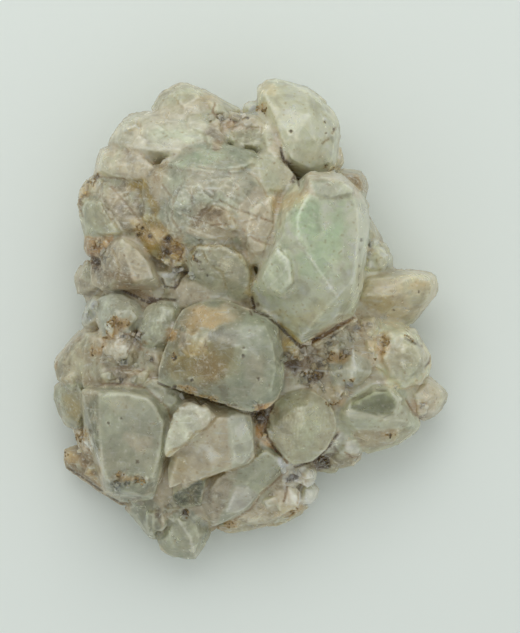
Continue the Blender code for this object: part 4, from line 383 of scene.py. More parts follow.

# Stains and clouds: a tint, its middle, its reach along and across, its turn in degrees, and its strength.
# The deep stains lie mostly in clefts and holes, and there they are partly painted shade.
STAINS = (
    ("ochre", -8.0, 43.8, 2.6, 1.4, 20, 0.5), ("brown", -7.0, 41.6, 1.6, 0.6, 60, 0.5),
    ("pinkish", -14.0, 41.6, 6.0, 1.6, 10, 0.45), ("pinkish", -4.6, 38.0, 2.4, 1.4, 0, 0.4),
    ("light mint", -15.0, 36.6, 6.0, 1.7, -8, 0.75), ("brown", -4.0, 39.0, 1.7, 1.1, 30, 0.75),
    ("brown", -6.6, 34.2, 0.7, 1.9, 8, 0.6), ("pinkish", -9.5, 32.6, 3.2, 0.9, -20, 0.4),
    ("rust", 2.4, 41.6, 0.9, 2.0, 30, 0.8), ("ochre", 3.4, 45.4, 2.2, 1.4, -30, 0.45),
    ("rust", 15.8, 30.3, 1.7, 0.8, 15, 0.6), ("light mint", 10.6, 39.0, 4.6, 5.6, 0, 0.28),
    ("ochre", 12.6, 32.0, 3.6, 1.2, 25, 0.2), ("cream", 4.2, 41.0, 2.2, 4.6, -25, 0.6),
    ("pale cream", 11.6, 32.6, 3.8, 2.0, 20, 0.4), ("pale cream", 8.2, 33.6, 2.3, 2.6, 0, 0.55),
    ("deep", 6.7, 31.4, 0.5, 2.2, 35, 0.7), ("deep", 9.0, 27.9, 0.5, 1.5, 0, 0.8),
    ("ochre", 8.2, 23.8, 3.4, 2.0, 25, 0.75), ("ochre", 5.4, 22.0, 0.9, 4.6, 0, 0.4),
    ("mint", 11.2, 19.4, 3.4, 4.4, 0, 0.7), ("mint", 16.6, 18.6, 1.2, 4.0, -15, 0.45),
    ("mint", 12.6, 11.0, 4.4, 3.4, -40, 0.6), ("pale cream", 15.4, 11.0, 2.2, 2.2, 0, 0.4),
    ("pale cream", 18.6, 5.6, 3.0, 2.6, 50, 0.45), ("pale cream", 20.6, 19.0, 1.2, 4.4, 0, 0.5),
    ("pinkish", 21.6, 12.6, 1.1, 8.0, 0, 0.4), ("blue grey", 7.6, 3.4, 1.8, 1.0, -20, 0.55),
    ("olive", 12.0, 1.0, 4.6, 2.0, 30, 0.4), ("brown", 16.0, -2.2, 6.6, 0.7, 30, 0.55),
    ("olive", -22.4, 26.8, 2.6, 1.4, -10, 0.95), ("olive", -19.8, 23.0, 1.0, 3.4, 15, 0.75),
    ("rust", -32.6, 26.0, 1.2, 2.6, -30, 0.5), ("deep", -31.2, 28.2, 0.6, 1.5, -20, 0.85),
    ("deep", -34.2, 23.8, 0.45, 1.3, 0, 0.8), ("pinkish", -28.0, 24.6, 3.0, 1.6, -20, 0.5),
    ("pinkish", -17.6, 27.4, 2.0, 3.0, 0, 0.35), ("brown", -17.6, 29.4, 1.0, 2.2, -25, 0.35),
    ("rust", -21.4, 16.6, 2.0, 2.2, 0, 0.5), ("ochre", -18.6, 16.4, 1.8, 3.0, -35, 0.55),
    ("rust", -14.6, 14.0, 2.2, 2.4, 0, 0.85), ("deep", -16.2, 16.0, 0.7, 0.9, 0, 0.95),
    ("deep", -17.0, 13.2, 1.0, 0.7, 20, 0.95), ("deep", -10.8, 11.6, 1.5, 0.5, -40, 0.75),
    ("deep", -9.8, 9.9, 1.3, 0.4, -10, 0.6), ("deep", -31.0, 11.2, 2.0, 1.1, -50, 1.0),
    ("brown", -32.0, 14.4, 2.0, 2.4, 0, 0.7), ("brown", -22.6, 5.4, 5.4, 0.8, -18, 0.65),
    ("deep", -19.0, 3.9, 2.2, 0.45, -25, 0.7), ("deep", -15.0, 7.0, 0.7, 1.0, 0, 0.85),
    ("brown", -24.6, 8.2, 4.4, 1.2, -8, 0.4), ("brown", -8.0, 20.8, 4.4, 2.0, -15, 0.4),
    ("pinkish", -2.6, 20.4, 2.6, 3.0, 0, 0.35), ("olive", -0.2, 7.4, 0.9, 4.6, 0, 0.7),
    ("brown", -2.4, 14.0, 3.2, 0.7, -25, 0.3), ("pinkish", -5.4, 26.4, 3.4, 1.6, -30, 0.3),
    ("mint", -9.0, 31.8, 5.4, 1.3, 8, 0.35), ("mint", 15.6, 15.0, 2.6, 4.0, -20, 0.5),
    ("deep", 0.6, 2.4, 0.6, 1.6, 0, 0.8), ("olive", 4.6, 1.4, 4.0, 0.6, -12, 0.5),
    ("brown", 20.4, 28.6, 2.4, 0.6, -5, 0.35), ("rust", 21.2, 26.6, 1.6, 2.2, -20, 0.4),
    ("brown", 24.0, 20.4, 0.5, 2.4, 25, 0.3), ("brown", 23.6, 13.9, 1.1, 0.7, 0, 0.6),
    ("olive", 26.0, 3.2, 3.4, 1.8, 0, 0.45), ("ochre", 33.6, 7.0, 1.7, 1.5, 0, 0.35),
    ("cream", 30.0, 8.0, 6.0, 1.0, 5, 0.35), ("rust", -26.0, -0.8, 2.4, 1.4, 20, 0.8),
    ("rust", -28.0, -3.4, 2.2, 1.0, 30, 0.75), ("rust", -30.4, -6.0, 1.5, 0.9, 30, 0.6),
    ("brown", -23.4, -2.6, 2.0, 0.5, 0, 0.6), ("brown", -21.4, -5.4, 0.9, 0.6, 60, 0.6),
    ("deep", -19.2, -7.4, 1.1, 0.8, 0, 0.6), ("rust", -15.6, -3.2, 1.7, 1.4, 40, 0.95),
    ("white", -25.6, -6.0, 2.6, 1.6, 10, 0.4), ("brown", -24.2, -10.6, 3.8, 0.9, -8, 0.55),
    ("brown", -35.6, -4.6, 0.8, 4.0, -38, 0.45), ("brown", -38.6, -8.6, 0.9, 1.6, 0, 0.6),
    ("cream", -35.0, -8.6, 1.9, 2.2, 0, 0.45), ("olive", -35.4, -17.4, 1.8, 2.8, 15, 0.65),
    ("brown", -32.6, -11.6, 1.6, 1.6, 0, 0.3), ("blue grey", -22.0, -19.0, 3.6, 3.2, 0, 0.5),
    ("pinkish", -22.0, -24.2, 3.0, 1.6, -15, 0.75), ("olive grey", -25.4, -27.6, 3.8, 2.0, 20, 0.5),
    ("pinkish", -26.4, -16.6, 2.6, 1.8, 0, 0.4), ("rust", -33.2, -22.8, 1.5, 1.5, 0, 0.85),
    ("white", -32.2, -24.9, 0.7, 1.0, 0, 1.0), ("rust", -24.6, -31.2, 3.0, 0.7, 5, 0.7),
    ("deep", -22.8, -31.4, 2.2, 0.4, 10, 0.55), ("deep", -22.4, -36.4, 1.8, 0.8, -25, 0.6),
    ("ochre", -36.2, -27.4, 1.4, 1.6, 0, 0.6), ("rust", -31.0, -32.0, 4.4, 0.7, -42, 0.6),
    ("brown", -25.4, -37.2, 1.9, 0.8, -20, 0.75), ("ochre", -8.4, 0.4, 5.4, 2.5, 8, 0.8),
    ("rust", -12.0, -1.6, 1.7, 0.7, -20, 0.5), ("pinkish", -4.4, 1.6, 2.4, 1.4, 0, 0.4),
    ("olive", -9.5, -8.4, 7.0, 4.4, -10, 0.7), ("brown", -8.0, -9.6, 3.8, 2.4, -10, 0.4),
    ("olive", -15.4, -8.4, 2.0, 2.6, 0, 0.4), ("blue grey", 4.2, -5.0, 1.8, 4.4, 0, 0.3),
    ("pinkish", 0.8, -9.6, 2.4, 3.4, 10, 0.45), ("grey green", 0.0, -15.0, 4.0, 2.0, 15, 0.5),
    ("rust", -13.0, -13.6, 2.8, 0.7, -15, 0.75), ("rust", -8.2, -15.5, 1.7, 0.6, -20, 0.6),
    ("deep", -3.4, -17.2, 3.6, 0.4, -12, 0.6), ("pinkish", -9.0, 6.4, 3.6, 1.2, -10, 0.4),
    ("white", -8.2, -26.4, 2.4, 1.1, -20, 0.75), ("olive", -14.2, -28.6, 1.9, 3.0, 10, 0.4),
    ("pinkish", -6.8, -21.6, 3.4, 1.8, 0, 0.3), ("white", -2.2, -21.6, 0.9, 1.6, 0, 0.45),
    ("deep", -13.4, -38.4, 1.2, 0.6, 0, 0.75), ("deep", -18.4, -38.8, 0.9, 1.8, 0, 0.75),
    ("rust", -5.2, -41.4, 3.2, 1.0, 8, 0.75), ("rust", 8.2, -38.8, 3.0, 1.0, 20, 0.65),
    ("pale cream", 1.4, -40.0, 1.8, 1.2, 0, 0.5), ("brown", 7.4, -34.8, 0.5, 1.8, 15, 0.5),
    ("brown", 10.6, -31.8, 0.5, 1.4, 0, 0.35), ("deep", 14.2, -28.4, 1.9, 1.1, 30, 1.0),
    ("deep", 16.0, -26.0, 0.4, 1.8, 35, 0.6), ("deep", 2.2, -19.0, 1.2, 2.0, 20, 0.9),
    ("brown", 4.6, -18.4, 0.9, 1.6, 20, 0.45), ("olive", -11.8, -35.0, 1.4, 1.6, 0, 0.3),
    ("rust", 27.6, -22.8, 1.8, 0.9, 0, 0.4), ("ochre", 17.4, -16.2, 1.5, 1.0, 0, 0.65),
    ("pale cream", 22.6, -19.0, 6.0, 0.6, -9, 0.6), ("deep", 34.9, -19.4, 1.2, 0.5, 30, 0.75),
    ("brown", 33.2, -17.2, 1.0, 1.8, 30, 0.45), ("brown", 35.4, -7.6, 0.4, 1.6, 10, 0.6),
    ("deep", 32.6, -4.4, 1.8, 0.3, -28, 0.6), ("rust", 26.0, -5.8, 1.3, 2.4, 0, 0.85),
    ("ochre", 24.2, -4.6, 1.0, 1.4, 0, 0.55), ("rust", 19.6, -11.6, 0.9, 0.7, 0, 0.8),
    ("rust", 17.0, -7.4, 2.6, 1.2, 15, 0.85), ("deep", 8.4, -8.4, 1.5, 2.4, 0, 0.9),
    ("brown", 12.0, -8.0, 4.0, 2.6, 0, 0.5), ("deep", 12.6, -11.4, 2.2, 0.9, 10, 0.8),
    ("white", 20.4, -8.4, 0.35, 1.9, 0, 0.7), ("brown", 14.6, -2.8, 5.4, 0.8, 28, 0.7),
    ("deep", 14.4, -4.2, 4.0, 0.3, 28, 0.5), ("white", 12.4, -7.4, 1.6, 1.0, -20, 0.35),
    ("brown", 22.4, -1.4, 1.2, 1.6, 0, 0.4),
)

# Parts that stand a little proud of the solid: the crystal's name and how far.
RAISED = (("white flake", 0.4), ("parallel leaf", 0.06), ("small plate", 0.2), ("slab window", 0.12))

# Etched and broken ground: its middle, its reach along and across, its turn, and how rough it is.
ROUGH_PLACES = (
    (-12.6, 23.4, 4.4, 3.4, 20, 1.0), (-9.0, 21.0, 5.0, 3.0, -15, 0.7), (-3.0, 25.0, 4.0, 4.0, 0, 0.5),
    (-11.2, -4.4, 3.0, 2.2, 0, 1.2), (-25.4, -6.4, 3.6, 3.2, 0, 1.2), (-15.0, 14.0, 3.2, 3.2, 0, 1.2),
    (-30.6, 13.0, 3.0, 4.0, 0, 1.2), (-4.0, 39.4, 5.0, 1.6, 0, 1.0), (12.0, -8.0, 6.0, 5.0, 0, 1.4),
    (18.0, -4.0, 6.0, 3.0, 25, 1.2), (-12.0, -15.2, 7.0, 1.0, -18, 1.2), (-24.0, -31.6, 4.4, 1.2, 5, 1.2),
    (-33.0, -24.0, 2.0, 2.4, 0, 1.2), (2.6, -19.8, 1.8, 4.0, 20, 1.4), (3.0, -40.0, 8.0, 1.8, 5, 0.9),
    (-12.0, -33.6, 3.0, 2.6, 0, 0.8), (-33.0, 25.0, 2.4, 3.0, -30, 1.0), (-16.0, -38.2, 4.0, 1.4, 0, 1.2),
    (-8.0, 34.6, 3.0, 2.0, 0, 0.6), (-18.0, 18.0, 4.0, 3.0, -30, 0.9), (21.0, -25.6, 2.0, 3.0, 0, 0.4),
    (-7.0, 20.0, 11.0, 12.0, 0, 0.5), (-25.0, 22.0, 6.0, 5.0, 0, 0.5), (-14.0, 43.0, 7.0, 4.0, 10, 0.4),
    (-18.0, 37.0, 10.0, 3.4, 0, 0.35), (0.0, 37.0, 5.0, 3.0, 0, 0.5), (-34.0, -8.0, 4.6, 6.0, 30, 0.3),
    (-26.0, 11.0, 7.0, 5.0, 0, 0.3), (-26.0, 1.4, 5.0, 4.0, 0, 0.35), (-25.0, -11.0, 6.0, 2.4, 0, 0.6),
    (-18.0, -1.0, 4.0, 5.0, 0, 0.25), (31.0, -7.0, 5.0, 6.0, 0, 0.3), (26.0, 13.0, 3.0, 4.0, 0, 0.5),
    (-24.0, 31.0, 6.0, 3.4, 0, 0.3), (2.0, 20.0, 3.6, 6.0, 0, 0.35), (9.6, -33.0, 4.0, 4.0, 0, 0.35),
    (34.4, -17.6, 2.6, 1.4, 30, 0.9), (-12.0, -19.6, 5.0, 5.0, 0, 0.35), (26.0, -4.6, 1.8, 3.4, 0, 1.2),
)

# Growth lines: the ground's middle, its reach along and across, its turn, the line's turn, spacing and depth.
STRIPES = (
    (5.0, 9.4, 3.2, 5.6, 0, 50, 0.9, 0.03), (9.6, -21.4, 5.6, 6.4, 0, 84, 0.62, 0.03),
    (-27.0, 11.0, 4.0, 5.0, 0, 70, 0.8, 0.036), (-18.0, -0.4, 3.4, 4.0, 0, 82, 0.9, 0.03),
    (-12.6, -33.8, 3.0, 2.6, 0, 32, 0.8, 0.042), (29.0, 5.0, 7.6, 4.0, 5, 12, 1.1, 0.024),
    (-31.6, 13.6, 2.4, 2.8, 0, 62, 0.7, 0.054), (-6.0, 11.0, 5.0, 3.6, 0, -20, 1.2, 0.03),
    (-31.6, -20.0, 1.6, 6.0, 0, 88, 0.7, 0.03), (-12.6, -44.0, 4.0, 4.0, 0, -62, 1.2, 0.024),
    (27.0, -22.4, 6.0, 2.0, 0, 8, 0.8, 0.03), (20.4, 27.0, 2.6, 2.8, 0, 55, 0.8, 0.03),
    (-22.4, 40.0, 4.6, 1.8, 20, 60, 1.0, 0.024),
)

# Small holes: the place, the width and the depth.
PITS = (
    (7.9, 37.2, 0.34, 0.5), (14.6, 39.2, 0.3, 0.45), (14.8, 36.9, 0.2, 0.25), (16.4, 37.8, 0.24, 0.3),
    (21.8, 15.7, 0.42, 0.5), (21.4, 13.8, 0.22, 0.3), (21.3, 10.8, 0.26, 0.3), (21.3, 9.0, 0.24, 0.3),
    (21.2, 7.0, 0.28, 0.35), (21.6, 5.4, 0.2, 0.2), (-1.5, -7.0, 0.3, 0.35), (1.5, -11.5, 0.24, 0.3),
    (-1.4, -5.4, 0.22, 0.25), (-16.2, 16.0, 0.6, 0.7), (-16.8, 13.4, 0.6, 0.6), (-31.2, 11.6, 0.9, 0.9),
    (-20.0, 16.6, 0.4, 0.4), (-21.4, 18.2, 0.3, 0.35), (-22.4, 16.8, 0.34, 0.35),
    (-22.4, -28.0, 0.26, 0.3), (-28.2, -20.4, 0.26, 0.3), (-25.6, -19.4, 0.2, 0.25),
    (-15.0, -13.2, 0.4, 0.4), (-15.1, -7.4, 0.5, 0.5), (33.4, 5.6, 0.24, 0.25), (28.4, 2.0, 0.22, 0.2),
    (-0.6, 40.0, 0.3, 0.3), (-13.2, -38.4, 0.6, 0.6), (27.8, -22.9, 0.3, 0.3), (-11.6, -11.8, 0.3, 0.3),
    (-8.6, 8.8, 0.24, 0.25), (11.6, -12.2, 0.4, 0.5),
)

# Edges that catch the light, painted as highlights, and cracks and clefts painted dark, partly as shade: a
# tint, the width, how far it stands up, its strength and its way.
LINES = (
    ("brown", 0.3, -0.18, 0.32, ((-13.4, 20.8), (-10.6, 19.8), (-7.8, 18.6), (-5.0, 18.8))),
    ("brown", 0.28, -0.18, 0.32, ((-6.2, 23.6), (-3.0, 21.8), (0.6, 20.6), (4.4, 19.2))),
    ("olive", 0.3, -0.18, 0.32, ((-10.4, 30.2), (-6.0, 29.4), (-1.6, 29.8), (1.2, 28.0), (3.2, 24.4))),
    ("brown", 0.26, -0.15, 0.32, ((-17.4, 26.6), (-15.2, 23.6), (-15.6, 20.0), (-13.8, 17.4))),
    ("olive", 0.28, -0.15, 0.32, ((-9.6, 13.8), (-8.4, 11.0), (-5.6, 9.2), (-4.8, 6.0))),
    ("brown", 0.28, -0.15, 0.32, ((-1.6, 17.8), (0.8, 15.8), (3.6, 14.8))),
    ("brown", 0.26, -0.15, 0.32, ((-27.6, 26.4), (-24.4, 22.6), (-21.6, 19.2))),
    ("olive", 0.28, -0.15, 0.32, ((-27.6, 14.6), (-26.0, 10.6), (-26.6, 7.0))),
    ("pale cream", 0.26, 0.1, 0.7, ((-11.6, 29.6), (-7.4, 27.6), (-3.4, 27.8))),
    ("pale cream", 0.26, 0.1, 0.7, ((-4.4, 24.8), (-0.8, 23.2), (2.4, 22.4))),
    ("pale cream", 0.24, 0.1, 0.7, ((-13.4, 18.6), (-10.0, 17.2), (-7.0, 16.2))),
    ("white", 0.34, 0.12, 0.75, ((9.5, 15.0), (12.0, 11.6), (14.5, 8.0), (17.0, 4.6))),
    ("white", 0.4, 0.05, 0.4, ((17.0, 4.6), (19.0, 6.0), (20.0, 8.6), (19.6, 12.4))),
    ("white", 0.3, 0.1, 0.9, ((5.1, 15.6), (4.3, 13.8), (3.4, 12.2))),
    ("white", 0.3, 0.1, 0.6, ((8.3, 12.6), (8.9, 9.8), (8.7, 6.6), (7.2, 4.3), (5.8, 4.6))),
    ("white", 0.3, 0.08, 0.8, ((2.2, 5.4), (1.2, 5.0), (0.9, 6.4))),
    ("white", 0.26, 0.06, 0.8, ((1.2, 4.2), (2.4, 2.9))),
    ("white", 0.26, 0.05, 0.5, ((3.4, 6.4), (6.4, 9.4), (7.4, 11.6))),
    ("white", 0.3, 0.1, 0.7, ((-29.6, 24.0), (-27.2, 20.4), (-25.0, 17.0))),
    ("white", 0.34, 0.1, 0.6, ((-25.4, 16.6), (-22.6, 14.4), (-20.4, 11.4), (-19.6, 8.4))),
    ("white", 0.3, 0.08, 0.35, ((-25.4, 16.4), (-24.4, 12.0), (-23.0, 8.2))),
    ("pale cream", 0.36, 0.1, 0.8, ((16.6, -18.2), (20.2, -18.0), (26.4, -19.8), (31.0, -20.2))),
    ("pale cream", 0.3, 0.08, 0.55, ((20.0, -21.6), (25.6, -21.8), (31.4, -21.0))),
    ("pale cream", 0.34, 0.08, 0.6, (
        (19.8, -16.2), (24.4, -13.9), (27.7, -13.8), (29.3, -16.2), (28.8, -19.0), (26.6, -19.8))),
    ("white", 0.3, 0.1, 0.35, ((-29.9, -14.6), (-29.9, -22.0), (-29.2, -30.6))),
    ("white", 0.26, 0.06, 0.15, (
        (-29.6, -14.6), (-24.6, -14.2), (-20.4, -15.0), (-17.2, -20.4), (-18.0, -27.0), (-19.2, -32.8))),
    ("white", 0.34, 0.08, 0.5, ((11.4, 27.9), (17.4, 27.8), (20.8, 24.8), (22.8, 22.8))),
    ("white", 0.24, 0.08, 0.9, ((-10.4, 26.8), (-9.4, 25.8), (-9.8, 25.0))),
    ("white", 0.22, 0.08, 0.8, ((-8.8, 25.8), (-7.4, 24.6))),
    ("white", 0.22, 0.06, 0.7, ((-13.8, 23.6), (-12.8, 24.2), (-12.2, 23.2))),
    ("white", 0.22, 0.06, 0.6, ((-14.4, 21.2), (-13.0, 20.6))),
    ("white", 0.34, 0.12, 0.8, ((-15.0, -38.8), (-14.0, -40.6), (-12.2, -43.4), (-11.0, -47.6))),
    ("pale cream", 0.24, 0.05, 0.5, ((-17.8, -42.2), (-15.4, -40.0), (-12.2, -38.8), (-8.6, -42.4))),
    ("white", 0.34, 0.1, 0.8, ((5.4, -26.9), (6.4, -28.2), (7.6, -29.0))),
    ("white", 0.24, 0.06, 0.7, ((-5.6, -38.0), (-3.6, -37.2), (-2.2, -38.2))),
    ("white", 0.24, 0.06, 0.6, ((-1.6, -3.0), (-0.4, -3.4), (0.6, -2.8))),
    ("white", 0.22, 0.05, 0.6, ((-0.8, -4.2), (0.2, -4.6))),
    ("pale cream", 0.26, 0.06, 0.45, ((-4.6, -17.8), (-3.8, -22.0), (-3.6, -25.0), (-4.4, -28.8))),
    ("white", 0.26, 0.1, 0.75, ((20.3, -5.2), (20.4, -8.0), (20.9, -11.2))),
    ("pale cream", 0.5, 0.0, 0.5, (
        (5.0, 47.7), (8.0, 46.6), (11.2, 46.0), (15.5, 42.0), (17.4, 38.8), (17.3, 34.0), (16.3, 30.8))),
    ("pale cream", 0.3, 0.08, 0.45, ((22.6, 7.8), (28.8, 9.0), (34.8, 9.2))),
    ("pale cream", 0.26, 0.06, 0.4, ((24.0, 5.0), (30.0, 5.6), (36.0, 5.8))),
    ("white", 0.26, 0.06, 0.7, ((-17.6, 8.8), (-15.9, 6.5), (-14.2, 8.6))),
    ("white", 0.22, 0.05, 0.6, ((-5.2, 13.8), (-4.0, 13.6), (-2.6, 14.4))),
    ("white", 0.24, 0.06, 0.6, ((-22.0, 7.0), (-20.6, 8.6), (-19.8, 7.6))),
    ("white", 0.26, 0.06, 0.7, ((-12.0, 39.2), (-8.4, 38.6), (-6.4, 37.6))),
    ("white", 0.22, 0.05, 0.6, ((-24.4, 31.6), (-23.6, 32.6))),
    ("white", 0.22, 0.05, 0.6, ((-23.4, 31.2), (-22.6, 32.2))),
    ("pale cream", 0.26, 0.05, 0.5, ((-33.2, -3.6), (-36.4, -7.6), (-37.4, -11.0))),
    ("white", 0.24, 0.05, 0.5, ((-26.6, -4.4), (-24.6, -5.0))),
    ("white", 0.24, 0.06, 0.6, ((8.6, -30.8), (9.6, -31.4))),
    ("white", 0.24, 0.06, 0.6, ((10.8, -33.4), (11.8, -34.6), (13.0, -34.4))),
    ("white", 0.24, 0.05, 0.5, ((-16.6, -1.4), (-15.0, -0.8))),
    ("white", 0.3, 0.06, 0.55, ((-12.9, -22.8), (-11.9, -21.9))),
    ("deep", 0.34, -0.3, 0.85, ((0.2, 4.4), (0.8, 1.7), (3.4, 0.7), (5.8, -1.4), (8.0, -3.7), (9.9, -5.4))),
    ("brown", 0.42, -0.3, 0.9, ((10.0, -5.3), (14.2, -3.3), (18.0, -0.8), (20.4, 0.5))),
    ("deep", 0.3, -0.3, 0.7, (
        (-18.4, -12.4), (-13.6, -14.2), (-8.4, -16.0), (-4.4, -17.1), (-1.4, -18.3), (0.6, -18.8),
        (4.0, -17.5))),
    ("deep", 0.34, -0.3, 0.75, ((-26.0, 6.0), (-23.0, 4.7), (-20.3, 3.4), (-18.0, 4.2), (-15.0, 4.0))),
    ("deep", 0.34, -0.3, 0.8, ((5.9, 34.0), (6.5, 31.3), (8.2, 29.6), (9.3, 28.2), (9.4, 26.2))),
    ("brown", 0.34, -0.3, 0.8, ((4.4, -16.8), (3.1, -19.2), (2.7, -22.6), (5.4, -26.2), (7.3, -28.5))),
    ("deep", 0.34, -0.3, 0.8, ((8.8, -29.3), (12.8, -28.1), (15.2, -25.8), (17.2, -22.8))),
    ("brown", 0.24, -0.1, 0.7, ((16.9, 38.2), (16.0, 36.9))),
    ("brown", 0.24, -0.1, 0.7, ((15.4, 35.8), (14.0, 34.9))),
    ("deep", 0.26, -0.15, 0.7, ((30.6, -3.6), (32.4, -4.6), (34.2, -5.2))),
    ("deep", 0.26, -0.15, 0.7, ((36.0, -7.0), (35.6, -8.4), (34.8, -9.2))),
    ("olive", 0.3, -0.15, 0.6, ((-9.6, -31.6), (-5.0, -30.2), (-0.4, -28.7), (1.2, -26.8))),
    ("brown", 0.3, -0.2, 0.6, ((-3.6, -40.1), (-0.2, -37.9), (1.9, -34.7), (4.6, -32.4), (7.0, -30.2))),
    ("brown", 0.3, -0.2, 0.7, ((8.4, -30.9), (7.2, -33.4), (6.6, -36.2))),
    ("brown", 0.3, -0.2, 0.6, ((10.2, -32.6), (9.5, -34.0), (9.4, -36.6))),
    ("brown", 0.28, -0.15, 0.7, ((18.8, -26.4), (20.0, -27.4), (21.4, -27.4))),
    ("brown", 0.3, -0.2, 0.6, ((31.0, -16.0), (32.4, -18.6), (35.0, -20.2))),
    ("deep", 0.26, -0.15, 0.6, ((-10.6, 13.6), (-11.4, 12.4), (-9.8, 11.4))),
    ("olive", 0.3, -0.15, 0.6, ((-11.8, 13.2), (-10.2, 14.8), (-7.0, 14.4), (-3.6, 14.8), (-2.0, 12.2))),
    ("deep", 0.28, -0.2, 0.75, ((-17.6, 8.2), (-17.0, 6.6), (-15.2, 6.4), (-14.4, 7.0), (-13.8, 8.4))),
    ("brown", 0.26, -0.12, 0.5, ((-31.2, 28.6), (-28.0, 28.2), (-25.0, 28.0))),
    ("brown", 0.28, -0.15, 0.6, ((-33.4, 20.6), (-34.2, 22.6), (-34.4, 24.0))),
    ("brown", 0.26, -0.12, 0.5, (
        (-29.8, -12.8), (-25.0, -12.6), (-20.8, -13.4), (-16.4, -17.4), (-15.6, -20.4))),
    ("deep", 0.26, -0.15, 0.6, ((-24.4, -6.4), (-22.8, -3.6), (-21.2, -2.6))),
    ("deep", 0.28, -0.2, 0.7, ((-37.4, -29.4), (-33.0, -32.2), (-28.4, -35.4), (-25.2, -37.4))),
    ("brown", 0.26, -0.12, 0.5, ((9.6, 24.4), (10.4, 26.0), (10.6, 28.2))),
    ("brown", 0.24, -0.1, 0.5, ((-7.0, 43.4), (-7.6, 41.2), (-5.8, 39.6))),
    ("olive", 0.3, -0.15, 0.5, (
        (-17.0, -27.4), (-16.0, -26.0), (-14.8, -25.4), (-12.8, -24.6), (-11.0, -22.2), (-8.8, -21.6),
        (-6.7, -19.2))),
)

# Rusty grains and small crystals that stand on the skin: their middle, reach along and across, and turn.
RUST_PLACES = (
    (-26.4, -0.6, 2.3, 1.0, 25), (-28.4, -3.4, 1.9, 0.9, 20), (-30.6, -6.2, 1.1, 0.6, 30),
    (1.9, 41.6, 0.8, 1.8, 30), (15.8, 30.4, 1.5, 0.6, 10), (-21.4, 17.2, 1.7, 1.3, -20),
    (-16.4, 15.6, 0.7, 1.0, 0), (-17.2, 13.4, 0.9, 0.7, 0), (-11.0, 11.6, 1.3, 0.5, -40),
    (-10.2, 9.9, 0.9, 0.4, -10), (-33.6, -22.8, 1.3, 1.2, 0), (-24.4, -31.2, 2.9, 0.6, 5),
    (-22.6, -31.8, 1.9, 0.5, 10), (-13.2, -13.7, 2.0, 0.5, -10), (-8.4, -15.7, 1.3, 0.5, -20),
    (26.2, -5.6, 0.9, 2.1, -10), (24.6, -7.4, 0.9, 0.6, 0), (19.6, -11.6, 0.8, 0.6, 0),
    (16.4, -16.6, 1.3, 0.7, 0), (17.2, -7.2, 2.1, 0.9, 15), (-15.2, -7.4, 0.8, 0.6, 0),
    (-20.8, -5.4, 0.7, 0.5, 60), (-31.3, 27.9, 0.7, 1.2, -20), (-13.2, -38.5, 1.0, 0.5, 0),
    (8.8, -38.4, 1.7, 0.6, 20), (-5.0, -41.6, 1.9, 0.7, 8), (-4.0, 39.2, 1.2, 0.7, 30),
    (34.6, -19.2, 1.1, 0.5, 30), (-15.8, -3.6, 0.8, 0.8, 40), (-36.6, -26.8, 0.7, 0.5, 0),
    (27.8, -22.9, 0.6, 0.4, 0), (12.4, -10.6, 1.6, 0.7, 10), (2.4, -18.8, 0.8, 1.6, 20),
    (9.4, -7.6, 1.0, 1.5, 0), (31.6, -4.0, 1.5, 0.3, -25), (-24.4, -37.0, 1.0, 0.5, -20),
)
BUD_PLACES = (
    (14.0, -6.6, 6.4, 4.6, 15), (20.0, -2.6, 4.4, 2.2, 20), (11.4, -12.4, 3.2, 1.8, 0),
    (-25.6, -9.8, 4.4, 2.6, 0), (-24.6, -3.4, 3.4, 1.4, 0), (-19.4, -8.0, 1.6, 2.4, 0),
    (-32.6, -24.2, 1.8, 2.2, 0), (-24.6, -32.4, 4.0, 1.4, 5), (-17.0, -38.4, 2.4, 1.8, 0),
    (-19.4, -41.4, 1.6, 2.2, 0), (8.2, -31.2, 1.8, 2.0, 0), (-4.0, 40.0, 4.2, 1.4, 0),
    (-30.6, 12.6, 2.4, 3.4, 0), (-16.6, 12.2, 2.6, 1.8, -20), (2.2, -19.8, 1.2, 3.4, 15),
    (-32.0, 3.0, 1.6, 2.4, 0), (24.6, -6.4, 1.6, 3.4, 0), (17.4, -14.4, 2.6, 1.8, 0),
    (22.6, 13.6, 1.2, 3.0, 0), (-14.6, -9.6, 1.6, 0.8, 0), (-32.6, 26.4, 1.2, 2.2, -20),
    (14.6, -29.0, 2.2, 1.2, 0), (5.4, -33.6, 2.4, 1.2, 20), (-13.4, -14.8, 3.4, 0.9, -15),
    (34.0, -17.0, 1.6, 1.2, 30), (-14.0, 9.6, 3.0, 1.2, -20),
)


def linear(hex_colour):
    """A sRGB hex value as linear light."""
    parts = (int(hex_colour[start:start + 2], 16) / 255.0 for start in (1, 3, 5))
    return tuple(part / 12.92 if part <= 0.04045 else ((part + 0.055) / 1.055) ** 2.4 for part in parts)


def smooth_step(low, high, values):
    share = np.clip((values - low) / (high - low), 0.0, 1.0)
    return share * share * (3.0 - 2.0 * share)


def noise_at(places, size, shift=0.0):
    """Smooth noise of that feature size at each place, between about -1 and 1. Both are millimetres."""
    spots = places / size + shift
    return np.array([noise.noise(Vector(spot)) for spot in spots.tolist()])


